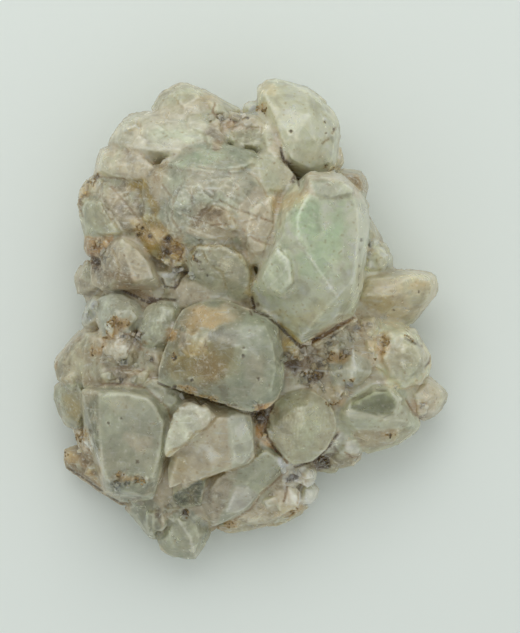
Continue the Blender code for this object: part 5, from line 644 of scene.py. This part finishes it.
def broken_at(places, size):
    """The tilt and the shade of the small flat break that each place lies on, for breaks of that size.

    The tilt is between about -1 and 1, and the shade from 0 to 1. Each break is the part of space nearest
    to one point, and there is one such point in every cube of that size.
    """
    spots = places / size
    cells = np.floor(spots).astype(np.int64)
    nearest = np.full(len(spots), np.inf)
    tilt = np.zeros(len(spots))
    shade = np.zeros(len(spots))
    for offset in np.ndindex(3, 3, 3):
        cell = cells + np.array(offset) - 1
        key = (cell * np.array(CUBE_KEYS)).sum(axis=1) & KEY_MOST
        chances = []
        for _ in range(7):
            key = (key * KEY_FACTOR + KEY_STEP) & KEY_MOST
            chances.append((key >> 8) / float(KEY_MOST >> 8))
        away = spots - cell - np.stack(chances[:3], axis=1)
        distance = (away * away).sum(axis=1)
        closer = distance < nearest
        nearest[closer] = distance[closer]
        slope = np.stack(chances[3:6], axis=1) - 0.5
        tilt[closer] = 2.0 * (slope * away).sum(axis=1)[closer] + 0.5 * (slope[closer, 0] + slope[closer, 2])
        shade[closer] = chances[6][closer]
    return tilt, shade


def mesh_places(mesh):
    places = np.empty(len(mesh.vertices) * 3)
    mesh.vertices.foreach_get("co", places)
    return places.reshape(-1, 3) / MM


def set_places(mesh, places):
    mesh.vertices.foreach_set("co", (places * MM).ravel())
    mesh.update()


def mesh_normals(mesh):
    normals = np.empty(len(mesh.vertices) * 3)
    mesh.vertex_normals.foreach_get("vector", normals)
    return normals.reshape(-1, 3)


class Neighbours:
    """Averages over the ends of each vertex's edges."""

    def __init__(self, mesh):
        ends = np.empty(len(mesh.edges) * 2, dtype=np.int32)
        mesh.edges.foreach_get("vertices", ends)
        ends = ends.reshape(-1, 2)
        self.here = np.concatenate([ends[:, 0], ends[:, 1]])
        self.there = np.concatenate([ends[:, 1], ends[:, 0]])
        self.count = np.maximum(np.bincount(self.here, minlength=len(mesh.vertices)), 1)

    def mean(self, values):
        columns = values.reshape(len(self.count), -1)
        sums = [np.bincount(self.here, column[self.there], len(self.count)) for column in columns.T]
        return (np.stack(sums, axis=1) / self.count[:, None]).reshape(values.shape)

    def smooth(self, values, passes):
        for _ in range(passes):
            values = 0.5 * values + 0.5 * self.mean(values)
        return values


def piece_distance(x, y, start, end):
    """How far each point lies from the straight piece between two corners."""
    (start_x, start_y), (end_x, end_y) = start, end
    dx, dy = end_x - start_x, end_y - start_y
    share = np.clip(((x - start_x) * dx + (y - start_y) * dy) / (dx * dx + dy * dy), 0.0, 1.0)
    return np.hypot(x - start_x - share * dx, y - start_y - share * dy)


def outline_distance(outline, x, y):
    """How far inside the outline each point lies, below zero outside it."""
    corners = np.array(outline)
    nearest = np.full(len(x), np.inf)
    inside = np.zeros(len(x), dtype=bool)
    for start, end in zip(corners, np.roll(corners, -1, axis=0)):
        nearest = np.minimum(nearest, piece_distance(x, y, start, end))
        if start[1] != end[1]:
            crossing_x = start[0] + (y - start[1]) / (end[1] - start[1]) * (end[0] - start[0])
            inside ^= ((y < start[1]) != (y < end[1])) & (x < crossing_x)
    return np.where(inside, nearest, -nearest)


def stain_weight(x, y, middle_x, middle_y, reach_x, reach_y, turn):
    """One at a stain's middle, fading to nothing past its reach."""
    angle = math.radians(turn)
    along = ((x - middle_x) * math.cos(angle) + (y - middle_y) * math.sin(angle)) / reach_x
    across = ((y - middle_y) * math.cos(angle) - (x - middle_x) * math.sin(angle)) / reach_y
    return 1.0 - smooth_step(0.45, 1.35, np.hypot(along, across))


def line_weight(x, y, way, width):
    """One on the line, fading to nothing a little over a width away."""
    nearest = np.full(len(x), np.inf)
    for start, end in zip(way, way[1:]):
        nearest = np.minimum(nearest, piece_distance(x, y, start, end))
    return 1.0 - smooth_step(0.25 * width, 1.3 * width, nearest)


def pit_weight(x, y, middle_x, middle_y, full, end):
    """One within the first distance of a pit's middle, fading to nothing at the second."""
    return 1.0 - smooth_step(full, end, np.hypot(x - middle_x, y - middle_y))


def seen_from_above(places, normals):
    """Whether each point is on the top skin, near the highest point of its small square."""
    squares = np.floor(places[:, :2] / SEEN_SQUARE).astype(int)
    squares -= squares.min(axis=0)
    index = squares[:, 0] * (squares[:, 1].max() + 1) + squares[:, 1]
    top = np.full(index.max() + 1, -np.inf)
    np.maximum.at(top, index, places[:, 2])
    return (places[:, 2] > top[index] - SEEN_BAND) & (normals[:, 2] > SEEN_TILT)


def fine_copy(source):
    """The solid on an even grid, fine enough to carve."""
    solid = bmesh.new()
    solid.from_mesh(source.data)
    bmesh.ops.remove_doubles(solid, verts=solid.verts[:], dist=WELD)
    mesh = bpy.data.meshes.new("datolite crystals")
    solid.to_mesh(mesh)
    solid.free()
    skin = bpy.data.objects.new("datolite_crystals", mesh)
    bpy.context.scene.collection.objects.link(skin)
    grid = skin.modifiers.new("even grid", "REMESH")
    grid.mode = "VOXEL"
    grid.voxel_size = GRID * MM
    apply_modifiers(skin)
    return skin


def apply_modifiers(piece):
    """Makes the piece's evaluated mesh its own and drops its modifiers."""
    graph = bpy.context.evaluated_depsgraph_get()
    made = bpy.data.meshes.new_from_object(piece.evaluated_get(graph))
    piece.modifiers.clear()
    piece.data = made


def wear(skin):
    """Takes the sharpness off edges that stand out, and leaves the clefts about as deep."""
    near = Neighbours(skin.data)
    places = mesh_places(skin.data)
    normals = mesh_normals(skin.data)
    for _ in range(WEAR_PASSES):
        step = 0.5 * (near.mean(places) - places)
        length = np.linalg.norm(step, axis=1)
        share = np.minimum(1.0, WEAR_STEP / np.maximum(length, 1e-9))
        share *= np.where((step * normals).sum(axis=1) < 0.0, 1.0, CLEFT_WEAR)
        places += step * share[:, None]
    set_places(skin.data, places)


def fill_clefts(skin):
    """Fills the deep clefts between crystals with rock, and gives how far each point moved."""
    near = Neighbours(skin.data)
    start = mesh_places(skin.data)
    normals = mesh_normals(skin.data)
    sunk = ((near.smooth(start, SINK_PASSES) - start) * normals).sum(axis=1)
    open_share = smooth_step(LEAST_SINK, FULL_SINK, near.smooth(sunk, SOFTEN_PASSES))
    most = np.full(len(start), MOST_FILL)
    for spot in GAPS:
        weight = stain_weight(start[:, 0], start[:, 1], *spot)
        open_share = np.maximum(open_share, weight)
        most += MORE_FILL * weight
    places = start.copy()
    for _ in range(FILL_PASSES):
        step = FILL_STEP * (near.mean(places) - places)
        outward = (step * normals).sum(axis=1) > 0.0
        room = np.linalg.norm(places - start, axis=1) < most
        places += step * (open_share * outward * room)[:, None]
    set_places(skin.data, places)
    return np.linalg.norm(places - start, axis=1)


def roughness(places, normals, filled):
    """How rough the ground is at each place: rock and flanks are, and most crystals' faces aren't."""
    rough = PATCH_ROUGHNESS * smooth_step(-0.2, 0.5, noise_at(places, PATCH_SIZE, 33.1))
    rough += ROCK_ROUGHNESS * smooth_step(0.5, 1.6, filled)
    for *spot, share in ROUGH_PLACES:
        rough = np.maximum(rough, share * stain_weight(places[:, 0], places[:, 1], *spot))
    return np.maximum(rough, SIDE_ROUGHNESS * smooth_step(0.3, -0.1, normals[:, 2]))


def growth_lines(x, y, etch, swell):
    """The low waves that growth left on some faces."""
    depth = np.zeros(len(x))
    for *spot, line_turn, spacing, stripe_depth in STRIPES:
        angle = math.radians(line_turn)
        across = y * math.cos(angle) - x * math.sin(angle)
        waves = np.sin((across / spacing + 0.5 * etch + 0.4 * swell) * math.tau)
        depth += stripe_depth * waves * stain_weight(x, y, *spot)
    return depth


def carve(skin, filled, low, high):
    """Moves the skin along its normals for the relief finer than the solid, inside the solid's box."""
    places = mesh_places(skin.data)
    normals = mesh_normals(skin.data)
    x, y = places[:, 0], places[:, 1]
    swell = noise_at(places, SWELL_SIZE)
    etch = noise_at(places, ETCH_SIZE, 21.7)
    rough = roughness(places, normals, filled)
    depth = SWELL_DEPTH * (swell - 0.2) + RIPPLE_DEPTH * noise_at(places, RIPPLE_SIZE, 7.3)
    depth += ETCH_DEPTH * rough * (etch - 0.3)
    for size, height, _ in BREAKS:
        depth += height * rough * broken_at(places, size)[0]
    depth += growth_lines(x, y, etch, swell)
    up = smooth_step(0.1, 0.5, normals[:, 2])
    for name, height in RAISED:
        outline = next(crystal[4] for crystal in CRYSTALS if crystal[0] == name)
        depth += height * up * smooth_step(-0.1, 0.4, outline_distance(outline, x, y))
    for _, width, height, _, way in LINES:
        rise = height if height < 0.0 else EDGE_HEIGHT * height
        depth += rise * up * line_weight(x, y, way, width)
    for pit_x, pit_y, width, pit_depth in PITS:
        depth -= pit_depth * up * pit_weight(x, y, pit_x, pit_y, 0.4 * width, 1.4 * width)
    depth *= smooth_step(0.0, REST_BAND, places[:, 2])
    places += normals * depth[:, None]
    set_places(skin.data, np.clip(places, low, high))
    write_number(skin.data, "rough", np.clip(rough, 0.0, 1.0))


def thin(skin):
    """Spends the triangles on what shows from above, and thins the flanks and the underside."""
    mesh = skin.data
    triangles = sum(len(face.vertices) - 2 for face in mesh.polygons)
    hidden = np.flatnonzero(~seen_from_above(mesh_places(mesh), mesh_normals(mesh)))
    skin.vertex_groups.new(name="flanks and underside").add(hidden.tolist(), 1.0, "REPLACE")
    fewer = skin.modifiers.new("fewer faces", "DECIMATE")
    fewer.vertex_group = "flanks and underside"
    fewer.ratio = min(1.0, MOST_TRIANGLES / triangles)
    apply_modifiers(skin)
    skin.vertex_groups.clear()
    skin.data.shade_smooth()
    print("skin triangles", sum(len(face.vertices) - 2 for face in skin.data.polygons), "of", triangles)


def tint_towards(colour, tint, share):
    """Takes the colours that share of the way to a tint."""
    colour += share[:, None] * (np.array(linear(TINTS[tint])) - colour)


def crystal_tints(x, y):
    """Each point's tint and clearness, from the crystal that it lies on seen from above."""
    colour = np.empty((len(x), 3))
    colour[:] = linear(TINTS[ROCK_TINT])
    clear = np.full(len(x), ROCK_CLEARNESS)
    for _, tint, clearness, brightness, outline in CRYSTALS:
        share = smooth_step(-0.35, 0.35, outline_distance(outline, x, y))
        colour += share[:, None] * (np.array(linear(TINTS[tint])) * brightness - colour)
        clear += share * (clearness - clear)
    return colour, clear


def add_clouds(colour, clear, rough, places, mottle, speck):
    """Breaks up each crystal's tint with shaded breaks, pink and green clouds and a fine fog."""
    cloud = noise_at(places, CLOUD_SIZE, 91.0)
    for size, _, share in BREAKS:
        shade = broken_at(places, size)[1] - 0.5
        colour *= (1.0 + 2.0 * share * shade * (0.25 + 0.75 * rough))[:, None]
    tint_towards(colour, "pinkish", (0.5 - 0.6 * clear) * smooth_step(0.05, 0.45, cloud + 0.4 * mottle))
    tint_towards(colour, "light mint", MILK_SHARE * smooth_step(0.05, 0.5, 0.5 * mottle - cloud))
    fog = smooth_step(-0.5, 0.5, noise_at(places, FOG_SIZE, 17.0) + 0.3 * speck)
    colour *= (1.0 + FOG_DEPTH * (fog - 0.5))[:, None]
    return cloud


def add_stains(colour, clear, x, y):
    for tint, *spot, strength in STAINS:
        share = strength * stain_weight(x, y, *spot)
        tint_towards(colour, tint, share)
        clear *= 1.0 - 0.7 * share if tint in DULL_TINTS else 1.0 - 0.2 * share


def add_hollow_shade_and_ridge_highlight(colour, clear, near, places, normals, cloud):
    """Paints shade, partly brown crust, into what is sunk below its surroundings, and a painted highlight on
    the ridges.
    """
    close = ((near.smooth(places, CLOSE_PASSES) - places) * normals).sum(axis=1)
    wide = ((near.smooth(places, WIDE_PASSES) - places) * normals).sum(axis=1)
    hollow_shade = np.clip(0.5 * smooth_step(0.02, 0.12, close) + 0.4 * smooth_step(0.3, 1.4, wide), 0.0, 1.0)
    ridge = smooth_step(0.012, 0.06, -close)
    # Painted shade in the hollows, partly brown crust, and a painted highlight on the ridges.
    tint_towards(colour, "brown", HOLLOW_SHADE_SHARE * hollow_shade)
    tint_towards(colour, "white", RIDGE_HIGHLIGHT_SHARE * ridge * (0.6 + 0.4 * cloud))
    clear *= (1.0 - 0.4 * ridge) * (1.0 - 0.5 * hollow_shade)


def add_lines(colour, x, y, worn):
    """Draws the bright edges as painted highlights, fainter where they are worn, and the dark cracks and
    clefts, partly painted shade.
    """
    for tint, width, _, strength, way in LINES:
        seen_share = EDGE_HIGHLIGHT_SHARE * (0.3 + 0.7 * worn) if tint in HIGHLIGHT_EDGE_TINTS else 1.0
        tint_towards(colour, tint, strength * seen_share * line_weight(x, y, way, width))


def add_pit_shade(colour, x, y):
    # Painted shade: each pit is darkened, as the small hole lies in shade.
    for pit_x, pit_y, width, _ in PITS:
        weight = pit_weight(x, y, pit_x, pit_y, 0.6 * width, 1.5 * width)
        tint_towards(colour, "deep", PIT_SHADE_SHARE * weight)


def body_colour(colour):
    """The body colours that come to look like these once light has been through them."""
    pale = smooth_step(STAIN_DARK, STAIN_PALE, colour.mean(axis=1))
    lift = 1.0 + (np.array(BODY_LIFT) - 1.0) * pale[:, None]
    return np.clip(colour * lift / (1.0 + BODY_LEVEL * (lift - 1.0) * colour), 0.0, BODY_MOST)


def paint(skin):
    """Writes each point's tint and clearness on the skin, and where grains and buds grow."""
    mesh = skin.data
    places = mesh_places(mesh)
    normals = mesh_normals(mesh)
    near = Neighbours(mesh)
    x, y = places[:, 0], places[:, 1]
    drift_x, drift_y = (noise_at(places, DRIFT_SIZE, shift) for shift in (3.0, 55.0))
    fine_x, fine_y = (noise_at(places, FINE_DRIFT_SIZE, shift) for shift in (13.0, 65.0))
    mottle = noise_at(places, MOTTLE_SIZE, 47.0)
    speck = noise_at(places, SPECK_SIZE, 71.0)

    border_x = x + BORDER_DRIFT * drift_x + FINE_BORDER_DRIFT * fine_x
    border_y = y + BORDER_DRIFT * drift_y + FINE_BORDER_DRIFT * fine_y
    colour, clear = crystal_tints(border_x, border_y)
    cloud = add_clouds(colour, clear, read_number(mesh, "rough"), places, mottle, speck)
    stain_x = x + STAIN_DRIFT * drift_x + FINE_STAIN_DRIFT * fine_x
    stain_y = y + STAIN_DRIFT * drift_y + FINE_STAIN_DRIFT * fine_y
    add_stains(colour, clear, stain_x, stain_y)
    add_hollow_shade_and_ridge_highlight(colour, clear, near, places, normals, cloud)
    # Patches where the painted highlights on the edges show more strongly.
    worn = smooth_step(-0.5, 0.2, fine_x + 0.6 * drift_y)
    add_lines(colour, x + LINE_DRIFT * fine_x, y + LINE_DRIFT * fine_y, worn)
    add_pit_shade(colour, x, y)
    tint_towards(colour, "white", SPECK_SHARE * smooth_step(0.5, 0.62, speck))
    tint_towards(colour, "brown", SPECK_SHARE * smooth_step(0.5, 0.62, -speck))
    # Painted light: steep faces are made paler, as light comes through the crystals' thin rims.
    tint_towards(colour, "pale cream", STEEP_LIGHT_SHARE * smooth_step(0.5, 0.1, np.abs(normals[:, 2])))

    write_colour(mesh, "tint", body_colour(colour))
    write_number(mesh, "clear", np.clip(clear, 0.0, 1.0))
    seen = seen_from_above(places, normals).astype(float)
    for name, spots in (("rust", RUST_PLACES), ("buds", BUD_PLACES)):
        share = np.zeros(len(x))
        for spot in spots:
            share = np.maximum(share, stain_weight(stain_x, stain_y, *spot))
        write_number(mesh, name, share * seen * smooth_step(-0.3, 0.2, mottle))


def write_colour(mesh, name, values):
    layer = mesh.attributes.new(name, "FLOAT_COLOR", "POINT")
    opaque = np.column_stack([values, np.ones(len(values))])
    layer.data.foreach_set("color", opaque.astype(np.float32).ravel())


def read_number(mesh, name):
    values = np.empty(len(mesh.vertices), dtype=np.float32)
    mesh.attributes[name].data.foreach_get("value", values)
    return values.astype(float)


def write_number(mesh, name, values):
    layer = mesh.attributes.new(name, "FLOAT", "POINT")
    layer.data.foreach_set("value", values.astype(np.float32))


def add_node(tree, kind, links=None, **settings):
    """Adds a node. Each link is an input's name or number, with a value or another node's output."""
    made = tree.nodes.new(kind)
    for name, value in settings.items():
        setattr(made, name, value)
    for name, value in (links or {}).items():
        if isinstance(value, bpy.types.NodeSocket):
            tree.links.new(value, made.inputs[name])
        else:
            made.inputs[name].default_value = value
    return made


def per_mm(size):
    """The scale of a pattern whose features are that many millimetres."""
    return 1.0 / (size * MM)


def noise_pattern(tree, place, size, detail, roughness=0.5, distortion=0.0):
    """Cloudy noise whose features are that many millimetres."""
    return add_node(tree, "ShaderNodeTexNoise", {
        "Vector": place, "Scale": per_mm(size), "Detail": detail, "Roughness": roughness,
        "Distortion": distortion})


def ranged(tree, value, span, new_span):
    """A value brought from one span to another, and held inside it."""
    return add_node(tree, "ShaderNodeMapRange", {
        "Value": value, "From Min": span[0], "From Max": span[1], "To Min": new_span[0],
        "To Max": new_span[1]}).outputs["Result"]


def scaled(tree, colour, share):
    return add_node(tree, "ShaderNodeVectorMath", {
        0: colour, "Scale": share}, operation="SCALE").outputs[0]


def product(tree, first, second):
    return add_node(tree, "ShaderNodeMath", {0: first, 1: second}, operation="MULTIPLY").outputs[0]


def blended(tree, share, colour, hex_colour):
    """A colour taken that share of the way to another."""
    mix = add_node(tree, "ShaderNodeMix", {
        "Factor": share, "A": colour, "B": (*linear(hex_colour), 1.0)}, data_type="RGBA")
    return mix.outputs["Result"]


def veiled(tree, place, colour):
    """Thin crooked veils of tiny bubbles: bright where the noise is near its middle value."""
    veils = noise_pattern(tree, place, size=2.6, detail=4.0, roughness=0.62, distortion=2.2)
    lines = add_node(tree, "ShaderNodeValToRGB", {"Fac": veils.outputs["Fac"]})
    ramp = lines.color_ramp
    for end, position in zip(ramp.elements, (0.475, 0.525)):
        end.position = position
        end.color = (0.0, 0.0, 0.0, 1.0)
    ramp.elements.new(0.5).color = (1.0, 1.0, 1.0, 1.0)
    return blended(tree, product(tree, lines.outputs["Color"], 0.35), colour, VEIL_AND_GLINT)


def fractured(tree, place, colour, cloud):
    """Old breaks that healed inside: patches a little lighter or darker, and pale seams in places."""
    bends = noise_pattern(tree, place, size=4.0, detail=3.0)
    bent = add_node(tree, "ShaderNodeVectorMath", {
        0: bends.outputs["Color"], 1: (BEND * MM, BEND * MM, BEND * MM), 2: place,
    }, operation="MULTIPLY_ADD").outputs[0]
    patches = add_node(tree, "ShaderNodeTexVoronoi", {"Vector": bent, "Scale": per_mm(FRACTURE_SIZE)})
    seams = add_node(tree, "ShaderNodeTexVoronoi", {
        "Vector": bent, "Scale": per_mm(FRACTURE_SIZE)}, feature="DISTANCE_TO_EDGE")
    patched = scaled(tree, colour, ranged(tree, patches.outputs["Color"], (0.0, 1.0), (0.9, 1.1)))
    seam_share = ranged(tree, seams.outputs["Distance"], (0.0, 0.045), (0.45, 0.0))
    here = ranged(tree, cloud, (0.48, 0.6), (0.0, 1.0))
    return blended(tree, product(tree, seam_share, here), patched, VEIL_AND_GLINT)


def streaked(tree, place, colour):
    """Short white cleavage glints, painted highlights, that all run one way."""
    drawn = add_node(tree, "ShaderNodeMapping", {
        "Vector": place, "Rotation": (0.0, 0.0, math.radians(STREAK_TURN)), "Scale": (0.16, 1.0, 0.6)})
    streaks = noise_pattern(tree, drawn.outputs["Vector"], size=0.7, detail=1.5, distortion=0.3)
    share = ranged(tree, streaks.outputs["Fac"], (0.63, 0.71), (0.0, 0.42))
    return blended(tree, share, colour, VEIL_AND_GLINT)


def datolite_material():
    """Datolite, a glassy calcium borosilicate grown in water: milky inside, with a soft satin face.

    Veils and bubbles in it scatter light just under the surface, so it looks pale and deep at once.
    """
    material = bpy.data.materials.new("datolite, milky")
    material.use_nodes = True
    tree = material.node_tree
    tree.nodes.clear()
    place = add_node(tree, "ShaderNodeTexCoord").outputs["Object"]
    tint = add_node(tree, "ShaderNodeAttribute", attribute_name="tint").outputs["Color"]
    clear = add_node(tree, "ShaderNodeAttribute", attribute_name="clear").outputs["Fac"]
    cloud = noise_pattern(tree, place, size=3.2, detail=4.0, roughness=0.55, distortion=0.6).outputs["Fac"]
    depths = noise_pattern(tree, place, size=5.0, detail=3.0, distortion=1.0).outputs["Fac"]
    grain = noise_pattern(tree, place, size=0.45, detail=2.0, roughness=0.6).outputs["Fac"]

    colour = scaled(tree, tint, ranged(tree, cloud, (0.3, 0.7), (0.9, 1.08)))
    colour = veiled(tree, place, colour)
    colour = blended(tree, ranged(tree, depths, (0.5, 0.7), (0.0, 0.3)), colour, DEPTHS)
    colour = fractured(tree, place, colour, cloud)
    # Painted highlights: the white glints.
    colour = streaked(tree, place, colour)
    colour = scaled(tree, colour, ranged(tree, grain, (0.3, 0.7), (0.96, 1.04)))
    etching = add_node(tree, "ShaderNodeBump", {"Height": grain, "Strength": 0.12, "Distance": 0.14 * MM})

    body = add_node(tree, "ShaderNodeBsdfPrincipled", {
        "Base Color": colour, "Roughness": ranged(tree, cloud, (0.3, 0.7), (0.14, 0.3)), "IOR": 1.63,
        "Transmission Weight": ranged(tree, clear, (0.0, 0.6), (0.12, 0.72)),
        "Normal": etching.outputs["Normal"], "Subsurface Weight": 0.8,
        "Subsurface Radius": (1.0, 0.95, 0.75), "Subsurface Scale": 4.0 * MM})
    depth = add_node(tree, "ShaderNodeVolumeAbsorption", {"Color": (*linear("#c9d2b4"), 1.0), "Density": 8.0})
    add_node(tree, "ShaderNodeOutputMaterial", {"Surface": body.outputs[0], "Volume": depth.outputs[0]})
    return material


def plain_material(name, hex_colour, roughness):
    material = bpy.data.materials.new(name)
    material.use_nodes = True
    body = material.node_tree.nodes["Principled BSDF"]
    body.inputs["Base Color"].default_value = (*linear(hex_colour), 1.0)
    body.inputs["Roughness"].default_value = roughness
    return material


def rust_material():
    """Limonite, an earthy iron rust that dried in crumbs: dull, ochre to dark brown from grain to grain."""
    material = bpy.data.materials.new("limonite, crumbly")
    material.use_nodes = True
    tree = material.node_tree
    body = tree.nodes["Principled BSDF"]
    place = add_node(tree, "ShaderNodeTexCoord").outputs["Object"]
    spots = noise_pattern(tree, place, size=0.7, detail=2.0)
    shades = add_node(tree, "ShaderNodeValToRGB", {"Fac": spots.outputs["Fac"]})
    shades.color_ramp.elements[0].position = 0.32
    shades.color_ramp.elements[0].color = (*linear("#4a3d24"), 1.0)
    shades.color_ramp.elements[1].position = 0.66
    shades.color_ramp.elements[1].color = (*linear("#ab9160"), 1.0)
    tree.links.new(shades.outputs["Color"], body.inputs["Base Color"])
    body.inputs["Roughness"].default_value = 0.75
    return material


def crust_tree():
    """Grows small blunt crystals or crumbs over a surface, thicker where the named share is higher."""
    tree = bpy.data.node_groups.new("crust on a surface", "GeometryNodeTree")
    sockets = tree.interface
    sockets.new_socket("Geometry", in_out="INPUT", socket_type="NodeSocketGeometry")
    for name, kind in (
        ("Share Name", "String"), ("Per Square Metre", "Float"), ("Least Size", "Float"),
        ("Most Size", "Float"), ("Sides", "Int"), ("Tip", "Float"), ("Lean", "Float"), ("Seed", "Int"),
        ("Material", "Material"),
    ):
        sockets.new_socket(name, in_out="INPUT", socket_type="NodeSocket" + kind)
    sockets.new_socket("Geometry", in_out="OUTPUT", socket_type="NodeSocketGeometry")
    given = add_node(tree, "NodeGroupInput").outputs
    share = add_node(tree, "GeometryNodeInputNamedAttribute", {
        "Name": given["Share Name"]}, data_type="FLOAT")
    density = product(tree, share.outputs[0], given["Per Square Metre"])
    points = add_node(tree, "GeometryNodeDistributePointsOnFaces", {
        "Mesh": given["Geometry"], "Density": density, "Seed": given["Seed"]})
    block = add_node(tree, "GeometryNodeMeshCone", {
        "Vertices": given["Sides"], "Radius Top": given["Tip"], "Radius Bottom": 1.0, "Depth": 1.7})
    lowered = add_node(tree, "GeometryNodeTransform", {
        "Geometry": block.outputs["Mesh"], "Translation": (0.0, 0.0, -0.8)})
    size = add_node(tree, "FunctionNodeRandomValue", {
        2: given["Least Size"], 3: given["Most Size"], "Seed": given["Seed"]}, data_type="FLOAT")
    placed = add_node(tree, "GeometryNodeInstanceOnPoints", {
        "Points": points.outputs["Points"], "Instance": lowered.outputs["Geometry"],
        "Rotation": points.outputs["Rotation"], "Scale": size.outputs[1]})
    lean_back = product(tree, given["Lean"], -1.0)
    least = add_node(tree, "ShaderNodeCombineXYZ", {0: lean_back, 1: lean_back, 2: 0.0})
    most = add_node(tree, "ShaderNodeCombineXYZ", {0: given["Lean"], 1: given["Lean"], 2: math.tau})
    turn = add_node(tree, "FunctionNodeRandomValue", {
        0: least.outputs[0], 1: most.outputs[0], "Seed": given["Seed"]}, data_type="FLOAT_VECTOR")
    turned = add_node(tree, "GeometryNodeRotateInstances", {
        "Instances": placed.outputs["Instances"], "Rotation": turn.outputs[0]})
    real = add_node(tree, "GeometryNodeRealizeInstances", {"Geometry": turned.outputs["Instances"]})
    dressed = add_node(tree, "GeometryNodeSetMaterial", {
        "Geometry": real.outputs["Geometry"], "Material": given["Material"]})
    add_node(tree, "NodeGroupOutput", {"Geometry": dressed.outputs["Geometry"]})
    return tree


def crust(name, skin, tree, settings):
    """A plain mesh of what the tree grows on the skin."""
    piece = bpy.data.objects.new(name, skin.data.copy())
    bpy.context.scene.collection.objects.link(piece)
    grown = piece.modifiers.new("crust", "NODES")
    grown.node_group = tree
    sockets = {item.name: item.identifier for item in tree.interface.items_tree if item.in_out == "INPUT"}
    for label, value in settings.items():
        grown[sockets[label]] = value
    apply_modifiers(piece)
    low, high = (np.array(corner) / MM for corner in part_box(NODE))
    set_places(piece.data, np.clip(mesh_places(piece.data), low, high))
    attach(piece, "root")
    print(name, len(piece.data.polygons), "faces")


def crusts(skin):
    """Iron rust in crumbs, and small blunt crystals, each on its own places."""
    tree = crust_tree()
    crust("rust_grains", skin, tree, {
        "Share Name": "rust", "Per Square Metre": 5.5e6, "Least Size": 0.1 * MM, "Most Size": 0.3 * MM,
        "Sides": 5, "Tip": 0.6, "Lean": 0.9, "Seed": 3, "Material": rust_material()})
    crust("small_crystals", skin, tree, {
        "Share Name": "buds", "Per Square Metre": 0.8e6, "Least Size": 0.25 * MM, "Most Size": 0.95 * MM,
        "Sides": 4, "Tip": 0.5, "Lean": 1.0, "Seed": 11, "Material": skin.data.materials[0]})


def crystals(source):
    """The cluster's visible skin."""
    low, high = (np.array(corner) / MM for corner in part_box(NODE))
    skin = fine_copy(source)
    wear(skin)
    filled = fill_clefts(skin)
    carve(skin, filled, low, high)
    thin(skin)
    set_places(skin.data, np.clip(mesh_places(skin.data), low, high))
    paint(skin)
    skin.data.materials.clear()
    skin.data.materials.append(datolite_material())
    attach(skin, "root")
    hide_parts(NODE)
    return skin


# The photograph's frame: 5 pixels to a millimetre at this height over the floor, with its middle here.
FRAME_LONG_SIDE = 126.6
FRAME_MIDDLE = (1.8, 0.7)
FRAME_HEIGHT = 12.0
CAMERA_HEIGHT = 1200.0


def camera():
    made = bpy.data.cameras.new("camera")
    made.lens = made.sensor_width * (CAMERA_HEIGHT - FRAME_HEIGHT) / FRAME_LONG_SIDE
    holder = bpy.data.objects.new("camera", made)
    holder.location = (FRAME_MIDDLE[0] * MM, FRAME_MIDDLE[1] * MM, CAMERA_HEIGHT * MM)
    bpy.context.scene.collection.objects.link(holder)
    bpy.context.scene.camera = holder


# The studio, in metres and watts: the floor, the lamp that stands in for a window, and the room's own light.
FLOOR_SIDE = 4.0
LAMP_SIDES = (0.58, 0.42)
LAMP_PLACE = (-0.06, 0.4, 0.5)
LAMP_POWER = 1.35
ROOM_LIGHT = 0.758


def studio():
    """A pale paper floor under soft light from the top of the picture."""
    sheet = bmesh.new()
    bmesh.ops.create_grid(sheet, x_segments=1, y_segments=1, size=FLOOR_SIDE / 2.0)
    mesh = bpy.data.meshes.new("floor")
    sheet.to_mesh(mesh)
    sheet.free()
    floor = bpy.data.objects.new("floor", mesh)
    bpy.context.scene.collection.objects.link(floor)
    mesh.materials.append(plain_material("pale paper", "#dfe4de", 0.9))

    lamp = bpy.data.lights.new("window light", "AREA")
    lamp.shape = "RECTANGLE"
    lamp.size, lamp.size_y = LAMP_SIDES
    lamp.energy = LAMP_POWER
    lamp.color = linear("#ffffff")
    holder = bpy.data.objects.new("window light", lamp)
    holder.location = LAMP_PLACE
    holder.rotation_euler = (-holder.location).to_track_quat("-Z", "Y").to_euler()
    bpy.context.scene.collection.objects.link(holder)

    world = bpy.data.worlds.new("room")
    world.use_nodes = True
    background = world.node_tree.nodes["Background"]
    background.inputs["Color"].default_value = (*linear("#f6fafa"), 1.0)
    background.inputs["Strength"].default_value = ROOM_LIGHT
    bpy.context.scene.world = world
    bpy.context.scene.view_settings.view_transform = "Standard"


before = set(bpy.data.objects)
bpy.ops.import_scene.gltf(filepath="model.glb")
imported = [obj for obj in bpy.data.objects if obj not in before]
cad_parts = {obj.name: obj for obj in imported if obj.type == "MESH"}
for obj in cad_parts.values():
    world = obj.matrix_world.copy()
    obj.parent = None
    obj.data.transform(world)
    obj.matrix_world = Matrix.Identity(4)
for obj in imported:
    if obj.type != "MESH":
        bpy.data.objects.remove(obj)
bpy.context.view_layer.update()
camera()
crusts(crystals(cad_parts[NODE]))
studio()
